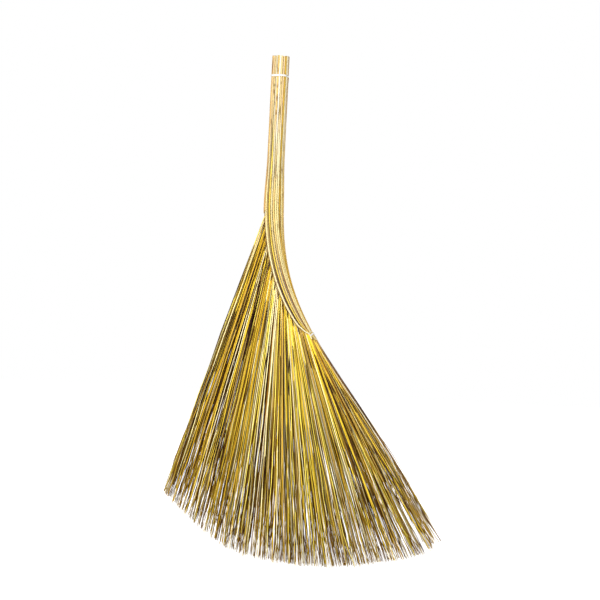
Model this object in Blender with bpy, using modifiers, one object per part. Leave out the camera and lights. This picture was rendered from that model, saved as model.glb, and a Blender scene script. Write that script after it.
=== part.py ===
"""Coconut broom: leaf ribs tied in a round handle, bent into a spine that sheds stitched hanks into a fan.

Metres, +Z up. The handle stands upright with its front towards -Y. The origin lies on its axis, at the hand.
A rib's place is its distance down the fan's outer edge, its offset in from that edge, and its depth Y.
"""

import math
import random

import bmesh
import bpy
import numpy as np

# Clearances, shared by every piece
GAP = 0.0003
SPARE_GAP = 0.0008
OVERRUN = 0.002

# Handle, a round bundle of rib butts
HANDLE_DIAMETER = 0.0315
GRIP_DROP = 0.14
BUTT_DIAMETER = 0.00285
RIB_TIP_DIAMETER = 0.0012
RAGGED_END = 0.0016
RIB_SIDES_RESOLUTION = 1
CORE_FLUTE_DEPTH = 0.0005
CORE_FLUTE_POINTS = 4
CORE_RING_STEP = 6
CORE_END_HEIGHT = 0.0012
STUB_SIDES = 6

# Outer edge of the spine and fan, straight down the handle and then bent to the right
EDGE_BEND = math.radians(36)
BEND_START = 0.23
BEND_LENGTH = 0.35
EDGE_SAMPLES = 4000
RIB_STEP = 0.037

# Spine, which swells where the hanks go in and narrows to the lower tie
SPINE_SWELL = 0.005
SWELL_START = 0.18
SWELL_LENGTH = 0.095
SPINE_START = 0.276
SPINE_END = 0.503
SPINE_END_WIDTH = 0.0105
SPINE_TAPER_POWER = 1.3
SQUARE_POWER = 0.4
EDGE_RIB_SHARE = 0.39
CROSSING_SHARES = (0.86, 0.93, 0.97, 0.99, 1)
LONG_RIB_REACH = 0.0055

# Fan, whose tips are trimmed to an arc
FAN_LEFT_ANGLE = math.radians(17.3)
ARC_RADIUS = 0.41
ARC_CENTRE_DROP = 0.506
ARC_CENTRE_REACH = 0.1176
FAN_TIP_DEPTH = 0.04
FAN_SPREAD_POWER = 1.4
TIP_RAGGEDNESS = 0.016

# Hanks, each a stitched stem that opens into loose strands
HANK_SPACING = 0.0165
LAST_HANK_ARC_SHARE = 0.235
STEM_LENGTH = 0.03
STEM_TRIES = 24
HANK_DEPTH = 0.024
LAST_STEM_RISE = 0.02
BACKBONE_WIDTH = 0.0055
BACKBONE_DEPTH = 0.016
COLLAR_LENGTH = 0.015
CORNER_WIDTH_SHARE = 0.55
CORNER_DEPTH_SHARE = 0.86

# Strands
STRAND_COLUMNS = 3
LAST_STRAND_COLUMNS = 6
STRAND_TIP_DIAMETER = 0.001
STRAND_ANCHOR = 0.003
STRAND_LAYER_PITCH = 0.0026
STRAND_MIDDLE_SHARE = 0.5
STRAND_STRAY_SHARE = 0.15
STRAND_LEAN_SHARE = 0.35
STRAND_SIDES = 3

# Ties and stitching
TOP_TIE_DROP = 0.036
BAND_HEIGHT = 0.0034
BAND_THICKNESS = 0.001
BAND_STEPS = 36
TIE_CORD_DIAMETER = 0.0013
LOWER_CORD_DROP = 0.003
LOWER_BAND_DROP = 0.0075
LOWER_TIE_OVERHANG = 0.0045
STITCH_DIAMETER = 0.0012
STITCH_SET_IN = 0.004
STITCH_STEP = 0.011
KNOT_REACH = 0.0022
KNOT_POINTS = 14
KNOT_TAIL = 0.014
KNOT_TURNS = 1.25

SHARP_ANGLE = math.radians(50)
MERGE_DISTANCE = 0.0001
SEED = 11

random_source = random.Random(SEED)


def clear_scene():
    for old in list(bpy.data.objects):
        bpy.data.objects.remove(old, do_unlink=True)


def new_collection(name):
    made = bpy.data.collections.new(name)
    bpy.context.scene.collection.children.link(made)
    return made


def smooth(value):
    held = min(max(value, 0), 1)
    return held * held * (3 - 2 * held)


def mix(first, second, share):
    return first + (second - first) * share


def centred_share(index, count):
    """The middle of one of a number of even slots, as a share of them all."""
    return (index + 0.5) / count


# Materials

MATERIALS = {}


def material(name, colour, roughness):
    """The named material, made the first time that it is asked for."""
    if name not in MATERIALS:
        made = bpy.data.materials.new(name)
        made.use_nodes = True
        shader = made.node_tree.nodes["Principled BSDF"]
        shader.inputs["Base Color"].default_value = (*colour, 1)
        shader.inputs["Roughness"].default_value = roughness
        shader.inputs["Metallic"].default_value = 0
        MATERIALS[name] = made
    return MATERIALS[name]


RIB_COLOURS = (
    ("rib_cream", (0.78, 0.66, 0.42)),
    ("rib_straw", (0.66, 0.5, 0.24)),
    ("rib_golden", (0.55, 0.35, 0.06)),
    ("rib_olive", (0.36, 0.27, 0.09)),
)
FAN_COLOURS = (
    ("fan_golden", (0.5, 0.33, 0.08)),
    ("fan_olive", (0.34, 0.24, 0.07)),
    ("fan_yellow", (0.62, 0.45, 0.12)),
)
RIB_ROUGHNESS = 0.55
TIE_COLOUR = (0.86, 0.86, 0.83)
TIE_ROUGHNESS = 0.4
STITCH_COLOUR = (0.7, 0.66, 0.55)


# Outer edge, from which every place is taken

def swell(s):
    return smooth((s - SWELL_START) / SWELL_LENGTH)


def bundle_diameter(s):
    return HANDLE_DIAMETER + SPINE_SWELL * swell(s)


EDGE_REACH = ARC_CENTRE_DROP + 2 * ARC_RADIUS
EDGE_S = np.linspace(0, EDGE_REACH, EDGE_SAMPLES)
EDGE_HEADING = np.array([EDGE_BEND * smooth((s - BEND_START) / BEND_LENGTH) for s in EDGE_S])
EDGE_STRIDE = EDGE_REACH / (EDGE_SAMPLES - 1)
EDGE_HALF_BUNDLE = np.array([bundle_diameter(s) / 2 for s in EDGE_S])
EDGE_X = EDGE_HALF_BUNDLE + np.cumsum(np.sin(EDGE_HEADING)) * EDGE_STRIDE
EDGE_Z = GRIP_DROP - np.cumsum(np.cos(EDGE_HEADING)) * EDGE_STRIDE


def place(s, offset, depth=0.0):
    """The point at a distance down the outer edge, an offset in from it and a depth towards the back."""
    heading = np.interp(s, EDGE_S, EDGE_HEADING)
    across = np.array([-math.cos(heading), 0, -math.sin(heading)])
    on_edge = np.array([np.interp(s, EDGE_S, EDGE_X), depth, np.interp(s, EDGE_S, EDGE_Z)])
    return on_edge + across * offset


def offset_of(point):
    """How far in from the outer edge a point lies."""
    return float(np.hypot(EDGE_X - point[0], EDGE_Z - point[2]).min())


def along(s):
    """The direction down the outer edge."""
    heading = np.interp(s, EDGE_S, EDGE_HEADING)
    return np.array([math.sin(heading), 0, -math.cos(heading)])


# Cross-section of the bundle

RIB_COUNT = int(math.pi / math.asin((BUTT_DIAMETER + GAP) / (HANDLE_DIAMETER - BUTT_DIAMETER)))
EDGE_RIB = round(EDGE_RIB_SHARE * RIB_COUNT)


def rib_angle(index):
    """The rib's angle round the bundle, from the outer edge towards the front."""
    angle = 2 * math.pi * index / RIB_COUNT
    return angle if angle <= math.pi else angle - 2 * math.pi


def rib_radius(s):
    return mix(BUTT_DIAMETER, RIB_TIP_DIAMETER, s / EDGE_TIP) / 2


def ring_place(angle, s):
    """Offset and depth of the bundle's rib at an angle. The inner half squares up where the hanks go in."""
    ring = bundle_diameter(s) / 2 - rib_radius(s)
    power = mix(1, SQUARE_POWER, swell(s)) if abs(angle) > math.pi / 2 else 1
    depth = math.copysign(abs(math.sin(angle)) ** power, math.sin(angle)) * ring
    return rib_radius(s) + ring * (1 - math.cos(angle)), -depth


def ring_depth(offset, s):
    """Depth of the rib that lies at this offset in the front of the bundle."""
    ring = bundle_diameter(s) / 2 - rib_radius(s)
    turn = 1 - (offset - rib_radius(s)) / ring
    return ring_place(math.acos(max(-1, min(1, turn))), s)[1]


def edge_rib_offset(s):
    """Offset of the rib that borders the spine: it crosses the others as the spine narrows."""
    if s <= SPINE_START:
        return ring_place(rib_angle(EDGE_RIB), s)[0]
    first = ring_place(rib_angle(EDGE_RIB), SPINE_START)[0]
    share = min((s - SPINE_START) / (SPINE_END - SPINE_START), 1)
    return mix(SPINE_END_WIDTH, first, math.sqrt(1 - share**SPINE_TAPER_POWER))


# Arc of the trimmed tips

ARC_CENTRE = np.array([ARC_CENTRE_REACH, 0, GRIP_DROP - ARC_CENTRE_DROP])


def arc_place(angle):
    return ARC_CENTRE + ARC_RADIUS * np.array([math.sin(angle), 0, -math.cos(angle)])


def arc_angle(point):
    return math.atan2(point[0] - ARC_CENTRE[0], ARC_CENTRE[2] - point[2])


def reach_of_edge(offset):
    """How far down a line beside the outer edge meets the arc."""
    below = EDGE_S > SPINE_END
    points = np.array([place(s, offset) for s in EDGE_S[below]])
    outside = np.linalg.norm(points - ARC_CENTRE, axis=1) > ARC_RADIUS
    return float(EDGE_S[below][np.argmax(outside)])


def arc_beyond(start, direction):
    """Where a line from a point inside the arc meets it."""
    from_centre = start - ARC_CENTRE
    half = float(from_centre @ direction)
    far = math.sqrt(half * half + ARC_RADIUS**2 - float(from_centre @ from_centre))
    return start + direction * (far - half)


EDGE_TIP = reach_of_edge(LONG_RIB_REACH)


# Mesh helpers

def add_mesh(name, collection, points, faces, finish):
    mesh = bpy.data.meshes.new(name)
    mesh.from_pydata([tuple(map(float, p)) for p in points], [], faces)
    shell = bmesh.new()
    shell.from_mesh(mesh)
    bmesh.ops.recalc_face_normals(shell, faces=shell.faces)
    shell.to_mesh(mesh)
    shell.free()
    mesh.shade_smooth()
    mesh.set_sharp_from_angle(angle=SHARP_ANGLE)
    mesh.materials.append(finish)
    made = bpy.data.objects.new(name, mesh)
    collection.objects.link(made)
    return made


def loft(sections):
    """Points and faces of the solid through sections of equal numbers of points, with flat ends."""
    count = len(sections[0])
    points = [p for section in sections for p in section]
    faces = [tuple(range(count)), tuple(range(len(points) - count, len(points)))]
    for row in range(len(sections) - 1):
        for i in range(count):
            a, b = row * count + i, row * count + (i + 1) % count
            faces.append((a, b, b + count, a + count))
    return points, faces


def ring_band(path, axis, height, thickness):
    """Points and faces of a flat band round a closed path."""
    points, faces = [], []
    for i, centre in enumerate(path):
        run = path[(i + 1) % len(path)] - path[i - 1]
        out = np.cross(run, axis)
        out = out / np.linalg.norm(out) * thickness / 2
        up = axis * height / 2
        points += [centre + out + up, centre + out - up, centre - out - up, centre - out + up]
    for i in range(len(path)):
        for j in range(4):
            a, b = 4 * i, 4 * ((i + 1) % len(path))
            faces.append((a + j, a + (j + 1) % 4, b + (j + 1) % 4, b + j))
    return points, faces


def add_tube(name, collection, points, radii, finish, cyclic=False):
    """A tube along the points, with its own radius at each."""
    curve = bpy.data.curves.new(name, "CURVE")
    curve.dimensions = "3D"
    curve.bevel_depth = 1
    curve.bevel_resolution = RIB_SIDES_RESOLUTION
    curve.use_fill_caps = not cyclic
    spline = curve.splines.new("POLY")
    spline.points.add(len(points) - 1)
    for spot, at, radius in zip(spline.points, points, radii):
        spot.co = (*map(float, at), 1)
        spot.radius = radius
    spline.use_cyclic_u = cyclic
    spline.use_smooth = True
    curve.materials.append(finish)
    made = bpy.data.objects.new(name, curve)
    collection.objects.link(made)
    return made


def hide_helper(helper):
    helper.hide_render = True
    helper.display_type = "WIRE"


def fuse(body, helper):
    """Joins a helper's shapes to the body that carries them."""
    hide_helper(helper)
    join = body.modifiers.new("join_" + helper.name, "BOOLEAN")
    join.operation = "UNION"
    join.use_self = True
    join.object = helper


# Hank layout

def root_at(s):
    return place(s, edge_rib_offset(s))


def upper_root_end():
    """How far down the last hank before the lower tie has its root, clear of the tie's inner side."""
    needed = SPINE_END_WIDTH + rib_radius(SPINE_END) + BAND_THICKNESS + 2 * (GAP + SPARE_GAP)
    spots = EDGE_S[(EDGE_S > SPINE_START) & (EDGE_S < SPINE_END)]
    widths = np.array([edge_rib_offset(s) for s in spots])
    return float(spots[np.argmax(widths < needed)])


SIDE_HANKS = int((upper_root_end() - SPINE_START) / HANK_SPACING)


def unit(vector):
    return vector / np.linalg.norm(vector)


def room_across(left, right, run):
    """The width between two borders, measured square to the way that the hank runs."""
    return float(np.linalg.norm(np.cross(unit(run), right - left)))


def section_points(left, right, run, half_depth):
    """An eight-sided section across a hank, set in from its borders by half the gap."""
    centre, side = (left + right) / 2, (right - left) / 2
    side = side * (1 - GAP / room_across(left, right, run))
    deep = np.array([0, half_depth, 0])
    corners = [(1, CORNER_DEPTH_SHARE), (CORNER_WIDTH_SHARE, 1)]
    shape = corners + [(-x, y) for x, y in reversed(corners)]
    shape += [(-x, -y) for x, y in corners] + [(x, -y) for x, y in reversed(corners)]
    return [centre + side * x + deep * y for x, y in shape]


def strand_sections(path, radii):
    """Triangular sections square to a strand's path."""
    sections = []
    for i, (centre, radius) in enumerate(zip(path, radii)):
        run = unit(path[min(i + 1, len(path) - 1)] - path[max(i - 1, 0)])
        side = unit(np.cross(run, np.array([0, 1, 0])))
        front = np.cross(side, run)
        turns = [2 * math.pi * k / STRAND_SIDES for k in range(STRAND_SIDES)]
        sections.append([centre + radius * (side * math.sin(t) + front * math.cos(t)) for t in turns])
    return sections


def strands_of(left_root, right_root, left_tip, right_tip, root_depth, columns):
    """All strands of a hank as one mesh of separate shapes. Each keeps to its own channel, so none cross."""
    layers = max(1, int(HANK_DEPTH / STRAND_LAYER_PITCH))
    root_width = room_across(left_root, right_root, left_tip - left_root) / columns - GAP
    points, faces = [], []
    for layer in range(layers):
        level = centred_share(layer, layers) - 0.5
        for column in range(columns):
            share = centred_share(column, columns)
            stray = random_source.uniform(-STRAND_STRAY_SHARE, STRAND_STRAY_SHARE) / columns
            lean = level * STRAND_LEAN_SHARE / columns
            start = mix(left_root, right_root, share) + np.array([0, level * root_depth, 0])
            spot = mix(arc_angle(left_tip), arc_angle(right_tip), share + stray + lean)
            full = arc_place(spot) + np.array([0, level * FAN_TIP_DEPTH, 0])
            run = unit(full - start)
            tip = full - run * random_source.uniform(0, TIP_RAGGEDNESS)
            base = start - run * STRAND_ANCHOR
            path = [base, mix(start, tip, STRAND_MIDDLE_SHARE), tip]
            middle = mix(root_width, STRAND_TIP_DIAMETER, STRAND_MIDDLE_SHARE)
            widths = (root_width, middle, STRAND_TIP_DIAMETER)
            more, sides = loft(strand_sections(path, [w / 2 for w in widths]))
            faces += [tuple(i + len(points) for i in side) for side in sides]
            points += more
    return points, faces


def fan_finish(index):
    name, colour = FAN_COLOURS[index % len(FAN_COLOURS)]
    return material(name, colour, RIB_ROUGHNESS)


def add_hank(name, index, parts, helpers, sections, strands):
    stem = add_mesh(name, parts, *loft(sections), fan_finish(index))
    helper = add_mesh(name + "_strands", helpers, *strands, fan_finish(index))
    fuse(stem, helper)
    return stem


BACKBONE_START_OFFSET = (
    bundle_diameter(SPINE_START) / 2
    - math.sqrt(
        (bundle_diameter(SPINE_START) / 2 - 2 * rib_radius(SPINE_START) - GAP) ** 2
        - (BACKBONE_DEPTH / 2) ** 2
    )
)
BACKBONE_INNER = BACKBONE_START_OFFSET + BACKBONE_WIDTH
LAST_BORDER = LONG_RIB_REACH + rib_radius(SPINE_END) + GAP
ROOT_OF_LAST = SPINE_END + LOWER_BAND_DROP + LOWER_TIE_OVERHANG + GAP
LAST_STEM_TOP = SPINE_END - LAST_STEM_RISE


def fan_tips():
    """Tips of the hanks' borders, from the fan's inner edge to its outer one. Lower hanks spread wider."""
    down_left = np.array([-math.sin(FAN_LEFT_ANGLE), 0, -math.cos(FAN_LEFT_ANGLE)])
    first = arc_angle(arc_beyond(root_at(SPINE_START), down_left))
    last = arc_angle(place(reach_of_edge(LAST_BORDER), LAST_BORDER))
    split = mix(last, first, LAST_HANK_ARC_SHARE)
    angles = [mix(first, split, (k / SIDE_HANKS) ** FAN_SPREAD_POWER) for k in range(SIDE_HANKS + 1)]
    return [arc_place(angle) for angle in (*angles, last)]


def stem_reach(root, tip):
    """How far a border runs up inside the spine before it meets the backbone."""
    up = unit(root - tip)
    reach = 0.0
    for reach in np.linspace(0, STEM_LENGTH, STEM_TRIES):
        if offset_of(root + up * reach) < BACKBONE_INNER + SPARE_GAP:
            break
    return float(reach)


def make_side_hanks(parts, helpers):
    tips = fan_tips()
    roots = [root_at(s) for s in np.linspace(SPINE_START, upper_root_end(), SIDE_HANKS + 1)]
    ups = [unit(root - tip) for root, tip in zip(roots, tips)]
    for k in range(SIDE_HANKS):
        reach = min(stem_reach(roots[k], tips[k]), stem_reach(roots[k + 1], tips[k + 1]))
        rises = (reach, 0, -COLLAR_LENGTH)
        rows = [(roots[k] + ups[k] * rise, roots[k + 1] + ups[k + 1] * rise) for rise in rises]
        run = ups[k] + ups[k + 1]
        sections = [section_points(left, right, run, HANK_DEPTH / 2) for left, right in rows]
        strands = strands_of(*rows[-1], tips[k], tips[k + 1], HANK_DEPTH, STRAND_COLUMNS)
        add_hank(f"hank_{k + 1:02d}", k, parts, helpers, sections, strands)


def stations_between(start, end):
    """Shared distances down the edge between two ends, so that pieces side by side bend alike."""
    count = int(EDGE_TIP / RIB_STEP)
    inside = [RIB_STEP * k for k in range(count) if start + SPARE_GAP < RIB_STEP * k < end - SPARE_GAP]
    return [start, *inside, end]


def backbone_rows(start, end):
    stations = stations_between(start, end)
    rows = [(place(s, BACKBONE_INNER), place(s, BACKBONE_START_OFFSET)) for s in stations]
    return rows, [along(s) for s in stations]


def make_spine_core(parts):
    """Inner ribs of the spine, from the handle's bundle down to the stem of the last hank."""
    rows, runs = backbone_rows(core_end() + GAP, LAST_STEM_TOP - GAP)
    sections = [section_points(*row, run, BACKBONE_DEPTH / 2) for row, run in zip(rows, runs)]
    add_mesh("spine_core", parts, *loft(sections), fan_finish(1))


def make_last_hank(parts, helpers):
    """The last hank, whose stem carries on from the spine's core and runs through the lower tie."""
    tips = fan_tips()[-2:]
    rows, runs = backbone_rows(LAST_STEM_TOP, ROOT_OF_LAST)
    left = rows[-1][0]
    left_end = left + unit(tips[0] - left) * COLLAR_LENGTH
    rows.append((left_end, place(ROOT_OF_LAST + COLLAR_LENGTH, LAST_BORDER)))
    runs.append(along(ROOT_OF_LAST + COLLAR_LENGTH))
    sections = [section_points(*row, run, BACKBONE_DEPTH / 2) for row, run in zip(rows, runs)]
    strands = strands_of(*rows[-1], *tips, BACKBONE_DEPTH, LAST_STRAND_COLUMNS)
    add_hank(f"hank_{SIDE_HANKS + 1:02d}", SIDE_HANKS, parts, helpers, sections, strands)


# Handle

def core_end():
    """The inner bundle stops where the first hank's stem begins."""
    return SPINE_START - STEM_LENGTH * math.cos(FAN_LEFT_ANGLE) - OVERRUN


def make_core(parts, helpers):
    """Inner ribs, pressed together into one fluted bundle, with each rib's cut end standing on top."""
    radius = HANDLE_DIAMETER / 2 - BUTT_DIAMETER - GAP
    flutes = int(2 * math.pi * radius / BUTT_DIAMETER)
    around = []
    for i in range(flutes * CORE_FLUTE_POINTS):
        angle = 2 * math.pi * i / (flutes * CORE_FLUTE_POINTS)
        reach = radius - CORE_FLUTE_DEPTH * (1 - abs(math.cos(flutes * angle / 2)))
        around.append((reach * math.cos(angle), reach * math.sin(angle)))
    top = GRIP_DROP - CORE_END_HEIGHT - RAGGED_END
    sections = [[(x, y, z) for x, y in around] for z in (GRIP_DROP - core_end(), top)]
    core = add_mesh("inner_ribs", parts, *loft(sections), rib_finish(1))
    stubs = bmesh.new()
    pitch = BUTT_DIAMETER + GAP
    rings = int((radius - BUTT_DIAMETER / 2) / pitch)
    for ring in range(rings + 1):
        count = max(1, CORE_RING_STEP * ring)
        for i in range(count):
            turn = 2 * math.pi * i / count
            low, high = top - OVERRUN, top + CORE_END_HEIGHT
            made = bmesh.ops.create_cone(
                stubs,
                cap_ends=True,
                segments=STUB_SIDES,
                radius1=BUTT_DIAMETER / 2,
                radius2=BUTT_DIAMETER / 2,
                depth=high - low,
            )
            at = (ring * pitch * math.cos(turn), ring * pitch * math.sin(turn), (low + high) / 2)
            bmesh.ops.translate(stubs, verts=made["verts"], vec=at)
    mesh = bpy.data.meshes.new("inner_rib_ends")
    stubs.to_mesh(mesh)
    stubs.free()
    mesh.materials.append(rib_finish(1))
    helper = bpy.data.objects.new("inner_rib_ends", mesh)
    helpers.objects.link(helper)
    fuse(core, helper)


def rib_finish(index):
    """Tones follow one another round the handle, and each round of them starts one later."""
    name, colour = RIB_COLOURS[(index + index // len(RIB_COLOURS)) % len(RIB_COLOURS)]
    return material(name, colour, RIB_ROUGHNESS)


def rib_end(index):
    """How far down a rib of the ring reaches."""
    offset = ring_place(rib_angle(index), SPINE_START)[0]
    steps_round = min(index, RIB_COUNT - index)
    if steps_round == EDGE_RIB:
        return SPINE_END + LOWER_BAND_DROP + LOWER_TIE_OVERHANG
    if steps_round > EDGE_RIB:
        heading = float(np.interp(SPINE_START, EDGE_S, EDGE_HEADING))
        room = offset - rib_radius(SPINE_START) - GAP - edge_rib_offset(SPINE_START)
        return SPINE_START + room / math.tan(FAN_LEFT_ANGLE + heading)
    if offset < LONG_RIB_REACH:
        return reach_of_edge(offset)
    for s in EDGE_S[EDGE_S > SPINE_START]:
        if edge_rib_offset(s) < offset + 2 * rib_radius(s) + GAP + SPARE_GAP:
            return float(s)
    return SPINE_END


def rib_stations(end):
    """Shared distances down the edge, so that neighbours bend alike, and the rib's own end."""
    bent = BEND_START + BEND_LENGTH
    count = int(bent / RIB_STEP) + 1
    shared = [RIB_STEP * k for k in range(count + 1) if SWELL_START - RIB_STEP < RIB_STEP * k < end]
    return [s for s in shared if s < end - SPARE_GAP] + [end]


def edge_rib_stations(end):
    """The rib that borders the spine turns sharply near its end, so it has closer places there."""
    length = SPINE_END - SPINE_START
    close = [SPINE_START + length * share for share in CROSSING_SHARES]
    return [s for s in rib_stations(end) if s < close[0] - SPARE_GAP] + close + [end]


def make_ribs(parts):
    for index in range(RIB_COUNT):
        steps_round = min(index, RIB_COUNT - index)
        end = rib_end(index)
        if steps_round < EDGE_RIB and LONG_RIB_REACH < ring_place(rib_angle(index), SPINE_START)[0]:
            end = min(end, SPINE_END)
        top = random_source.uniform(0, RAGGED_END)
        points, radii = [], []
        stations = edge_rib_stations(end) if steps_round == EDGE_RIB else rib_stations(end)
        for s in [top, *stations]:
            offset, depth = ring_place(rib_angle(index), s)
            if steps_round == EDGE_RIB and s > SPINE_START:
                offset = edge_rib_offset(s)
                depth = math.copysign(ring_depth(offset, s), depth)
            points.append(place(s, offset, depth))
            radii.append(rib_radius(s))
        add_tube(f"handle_rib_{index + 1:02d}", parts, points, radii, rib_finish(index))


# Ties and stitching

def tie_finish():
    return material("tie_white", TIE_COLOUR, TIE_ROUGHNESS)


def make_top_tie(parts):
    """A flat band turned round the handle."""
    inner = HANDLE_DIAMETER / 2 + GAP
    middle = GRIP_DROP - TOP_TIE_DROP
    low, high = middle - BAND_HEIGHT / 2, middle + BAND_HEIGHT / 2
    outer = inner + BAND_THICKNESS
    profile = [(outer, 0, high), (outer, 0, low), (inner, 0, low), (inner, 0, high)]
    mesh = bpy.data.meshes.new("top_tie")
    mesh.from_pydata(profile, [(0, 1), (1, 2), (2, 3), (3, 0)], [])
    mesh.materials.append(tie_finish())
    band = bpy.data.objects.new("top_tie", mesh)
    parts.objects.link(band)
    turn = band.modifiers.new("turn", "SCREW")
    turn.steps = BAND_STEPS
    turn.render_steps = BAND_STEPS
    turn.use_merge_vertices = True
    turn.merge_threshold = MERGE_DISTANCE
    turn.use_smooth_shade = False


def tie_path(s, spread):
    """A closed path round the bundle below the spine: an arc over the ribs and a straight inner side."""
    half = bundle_diameter(s) / 2
    ring = half + spread
    inner = SPINE_END_WIDTH + rib_radius(s) + spread
    turn = math.acos((half - inner) / ring)
    angles = np.linspace(-turn, turn, BAND_STEPS // 2)
    path = [place(s, half - ring * math.cos(a), -ring * math.sin(a)) for a in angles]
    return path


def make_lower_tie(parts):
    cord_s = SPINE_END + LOWER_CORD_DROP
    band_s = SPINE_END + LOWER_BAND_DROP
    band = ring_band(tie_path(band_s, GAP + BAND_THICKNESS / 2), along(band_s), BAND_HEIGHT, BAND_THICKNESS)
    add_mesh("lower_tie_band", parts, *band, tie_finish())
    cord = tie_path(cord_s, GAP + TIE_CORD_DIAMETER / 2)
    radii = [TIE_CORD_DIAMETER / 2] * len(cord)
    add_tube("lower_tie_cord", parts, cord, radii, tie_finish(), cyclic=True)


def make_knot(name, parts, s, out_from):
    """A small round turn of cord beside a band, with its tail lying down the ribs."""
    radius = TIE_CORD_DIAMETER / 2
    points = []
    for turned in np.linspace(0, KNOT_TURNS, KNOT_POINTS):
        angle = turned * 2 * math.pi
        climb = turned * (TIE_CORD_DIAMETER + SPARE_GAP)
        side = KNOT_REACH * math.sin(angle)
        points.append(place(s + KNOT_REACH * math.cos(angle), -(out_from + radius + climb), side))
    last = points[-1]
    points.append(last + along(s) * KNOT_TAIL)
    add_tube(name, parts, points, [radius] * len(points), tie_finish())


def make_stitches(parts):
    """A cord on each side that lies across the hanks' roots, just inside the spine's border."""
    radius = STITCH_DIAMETER / 2
    start = SPINE_START + STITCH_STEP / 2
    end = upper_root_end() - STITCH_STEP / 2
    count = int((end - start) / STITCH_STEP) + 1
    finish = material("stitch_cord", STITCH_COLOUR, RIB_ROUGHNESS)
    for name, side in (("front_stitching", -1), ("back_stitching", 1)):
        depth = side * (HANK_DEPTH / 2 + GAP + radius)
        spots = np.linspace(start, end, count)
        points = [place(s, edge_rib_offset(s) + STITCH_SET_IN, depth) for s in spots]
        add_tube(name, parts, points, [radius] * len(points), finish)


def main():
    clear_scene()
    parts = new_collection("coconut_broom")
    helpers = new_collection("coconut_broom_helpers")
    make_core(parts, helpers)
    make_ribs(parts)
    make_side_hanks(parts, helpers)
    make_spine_core(parts)
    make_last_hank(parts, helpers)
    make_top_tie(parts)
    make_lower_tie(parts)
    make_knot("top_tie_knot", parts, TOP_TIE_DROP, GAP + BAND_THICKNESS + GAP)
    make_knot("lower_tie_knot", parts, SPINE_END + LOWER_BAND_DROP, GAP + BAND_THICKNESS + GAP)
    make_stitches(parts)


main()
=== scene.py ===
"""Looks of the coconut broom: every leaf rib, strand, tie and stitch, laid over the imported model.

Metres, in the model's frame: the handle stands along +Z and the broom's front looks towards -Y.
A place on the broom is a distance down the fan's outer edge, an offset in from it and a depth.
"""

import math
import random

import bpy
import numpy as np
from mathutils import Matrix, Vector


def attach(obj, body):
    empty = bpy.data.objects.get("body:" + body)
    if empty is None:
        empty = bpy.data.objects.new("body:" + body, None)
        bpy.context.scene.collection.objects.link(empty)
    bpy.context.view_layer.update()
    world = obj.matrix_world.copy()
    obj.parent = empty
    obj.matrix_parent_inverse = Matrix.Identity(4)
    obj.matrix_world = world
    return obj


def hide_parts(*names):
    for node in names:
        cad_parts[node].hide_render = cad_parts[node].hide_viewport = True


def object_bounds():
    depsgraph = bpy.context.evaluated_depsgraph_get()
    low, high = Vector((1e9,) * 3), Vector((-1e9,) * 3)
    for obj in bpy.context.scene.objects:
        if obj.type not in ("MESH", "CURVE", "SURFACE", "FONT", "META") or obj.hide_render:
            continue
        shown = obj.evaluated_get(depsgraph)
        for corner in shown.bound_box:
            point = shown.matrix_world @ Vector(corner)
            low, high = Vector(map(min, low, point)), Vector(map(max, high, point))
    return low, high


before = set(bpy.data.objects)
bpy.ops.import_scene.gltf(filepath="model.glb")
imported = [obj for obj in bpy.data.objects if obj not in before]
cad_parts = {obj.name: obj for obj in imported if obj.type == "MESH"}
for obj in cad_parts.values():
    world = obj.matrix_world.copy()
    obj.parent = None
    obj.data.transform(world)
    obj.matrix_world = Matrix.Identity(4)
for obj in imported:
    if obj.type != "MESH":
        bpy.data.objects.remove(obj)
cad_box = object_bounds()

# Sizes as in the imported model
GAP = 0.0003
SPARE_GAP = 0.0008
HANDLE_DIAMETER = 0.0315
GRIP_DROP = 0.14
BUTT_DIAMETER = 0.00285
RIB_TIP_DIAMETER = 0.0012
RAGGED_END = 0.0016
EDGE_BEND = math.radians(36)
BEND_START = 0.23
BEND_LENGTH = 0.35
EDGE_SAMPLES = 4000
SPINE_SWELL = 0.005
SWELL_START = 0.18
SWELL_LENGTH = 0.095
SPINE_START = 0.276
SPINE_END = 0.503
SPINE_END_WIDTH = 0.0105
SPINE_TAPER_POWER = 1.3
SQUARE_POWER = 0.4
RIB_COUNT = 28
EDGE_RIB = 11
LONG_RIB_REACH = 0.0055
FAN_LEFT_ANGLE = math.radians(17.3)
ARC_RADIUS = 0.41
ARC_CENTRE_DROP = 0.506
ARC_CENTRE_REACH = 0.1176
FAN_SPREAD_POWER = 1.4
HANK_SPACING = 0.0165
LAST_HANK_ARC_SHARE = 0.235
HANK_DEPTH = 0.024
STEM_LENGTH = 0.03
LAST_STEM_RISE = 0.02
BACKBONE_WIDTH = 0.0055
BACKBONE_DEPTH = 0.016
BAND_HEIGHT = 0.0034
BAND_THICKNESS = 0.001
TIE_CORD_DIAMETER = 0.0013
TOP_TIE_DROP = 0.036
LOWER_CORD_DROP = 0.003
LOWER_BAND_DROP = 0.0075
LOWER_TIE_OVERHANG = 0.0045
STITCH_DIAMETER = 0.0012
STITCH_SET_IN = 0.004

# Sizes of the looks alone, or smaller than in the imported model
FAN_TIP_DEPTH = 0.0376
KNOT_REACH = 0.0016
LOWER_TIE_RISE = 0.0034
STRIP_HEIGHT = 0.0016
STRIP_SHARE = 0.45
TIE_DRAWS_IN = 0.0033
TIE_DRAWS_FROM_SHARE = 0.88
TIE_SLANT = 0.2
MIDDLE_RIB = 7
MIDDLE_RIB_AT_TIE = 0.006
BELOW_TIE_REACH = 0.025
BORDER_BELOW_TIE = 0.004
# Phases of random waves, and how much darker or lighter than its palette a tone may be
PHASES = (0, 6.28)
TONE_SPREAD = (0.88, 1.08)
# Seeds of the random draws. Those of the handle's ribs and the side hanks count up from the first.
HANDLE_SEED = 100
INNER_SEED = 7
CORE_SEED = 8
HANK_SEED = 500
LAST_HANK_SEED = 900

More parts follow.
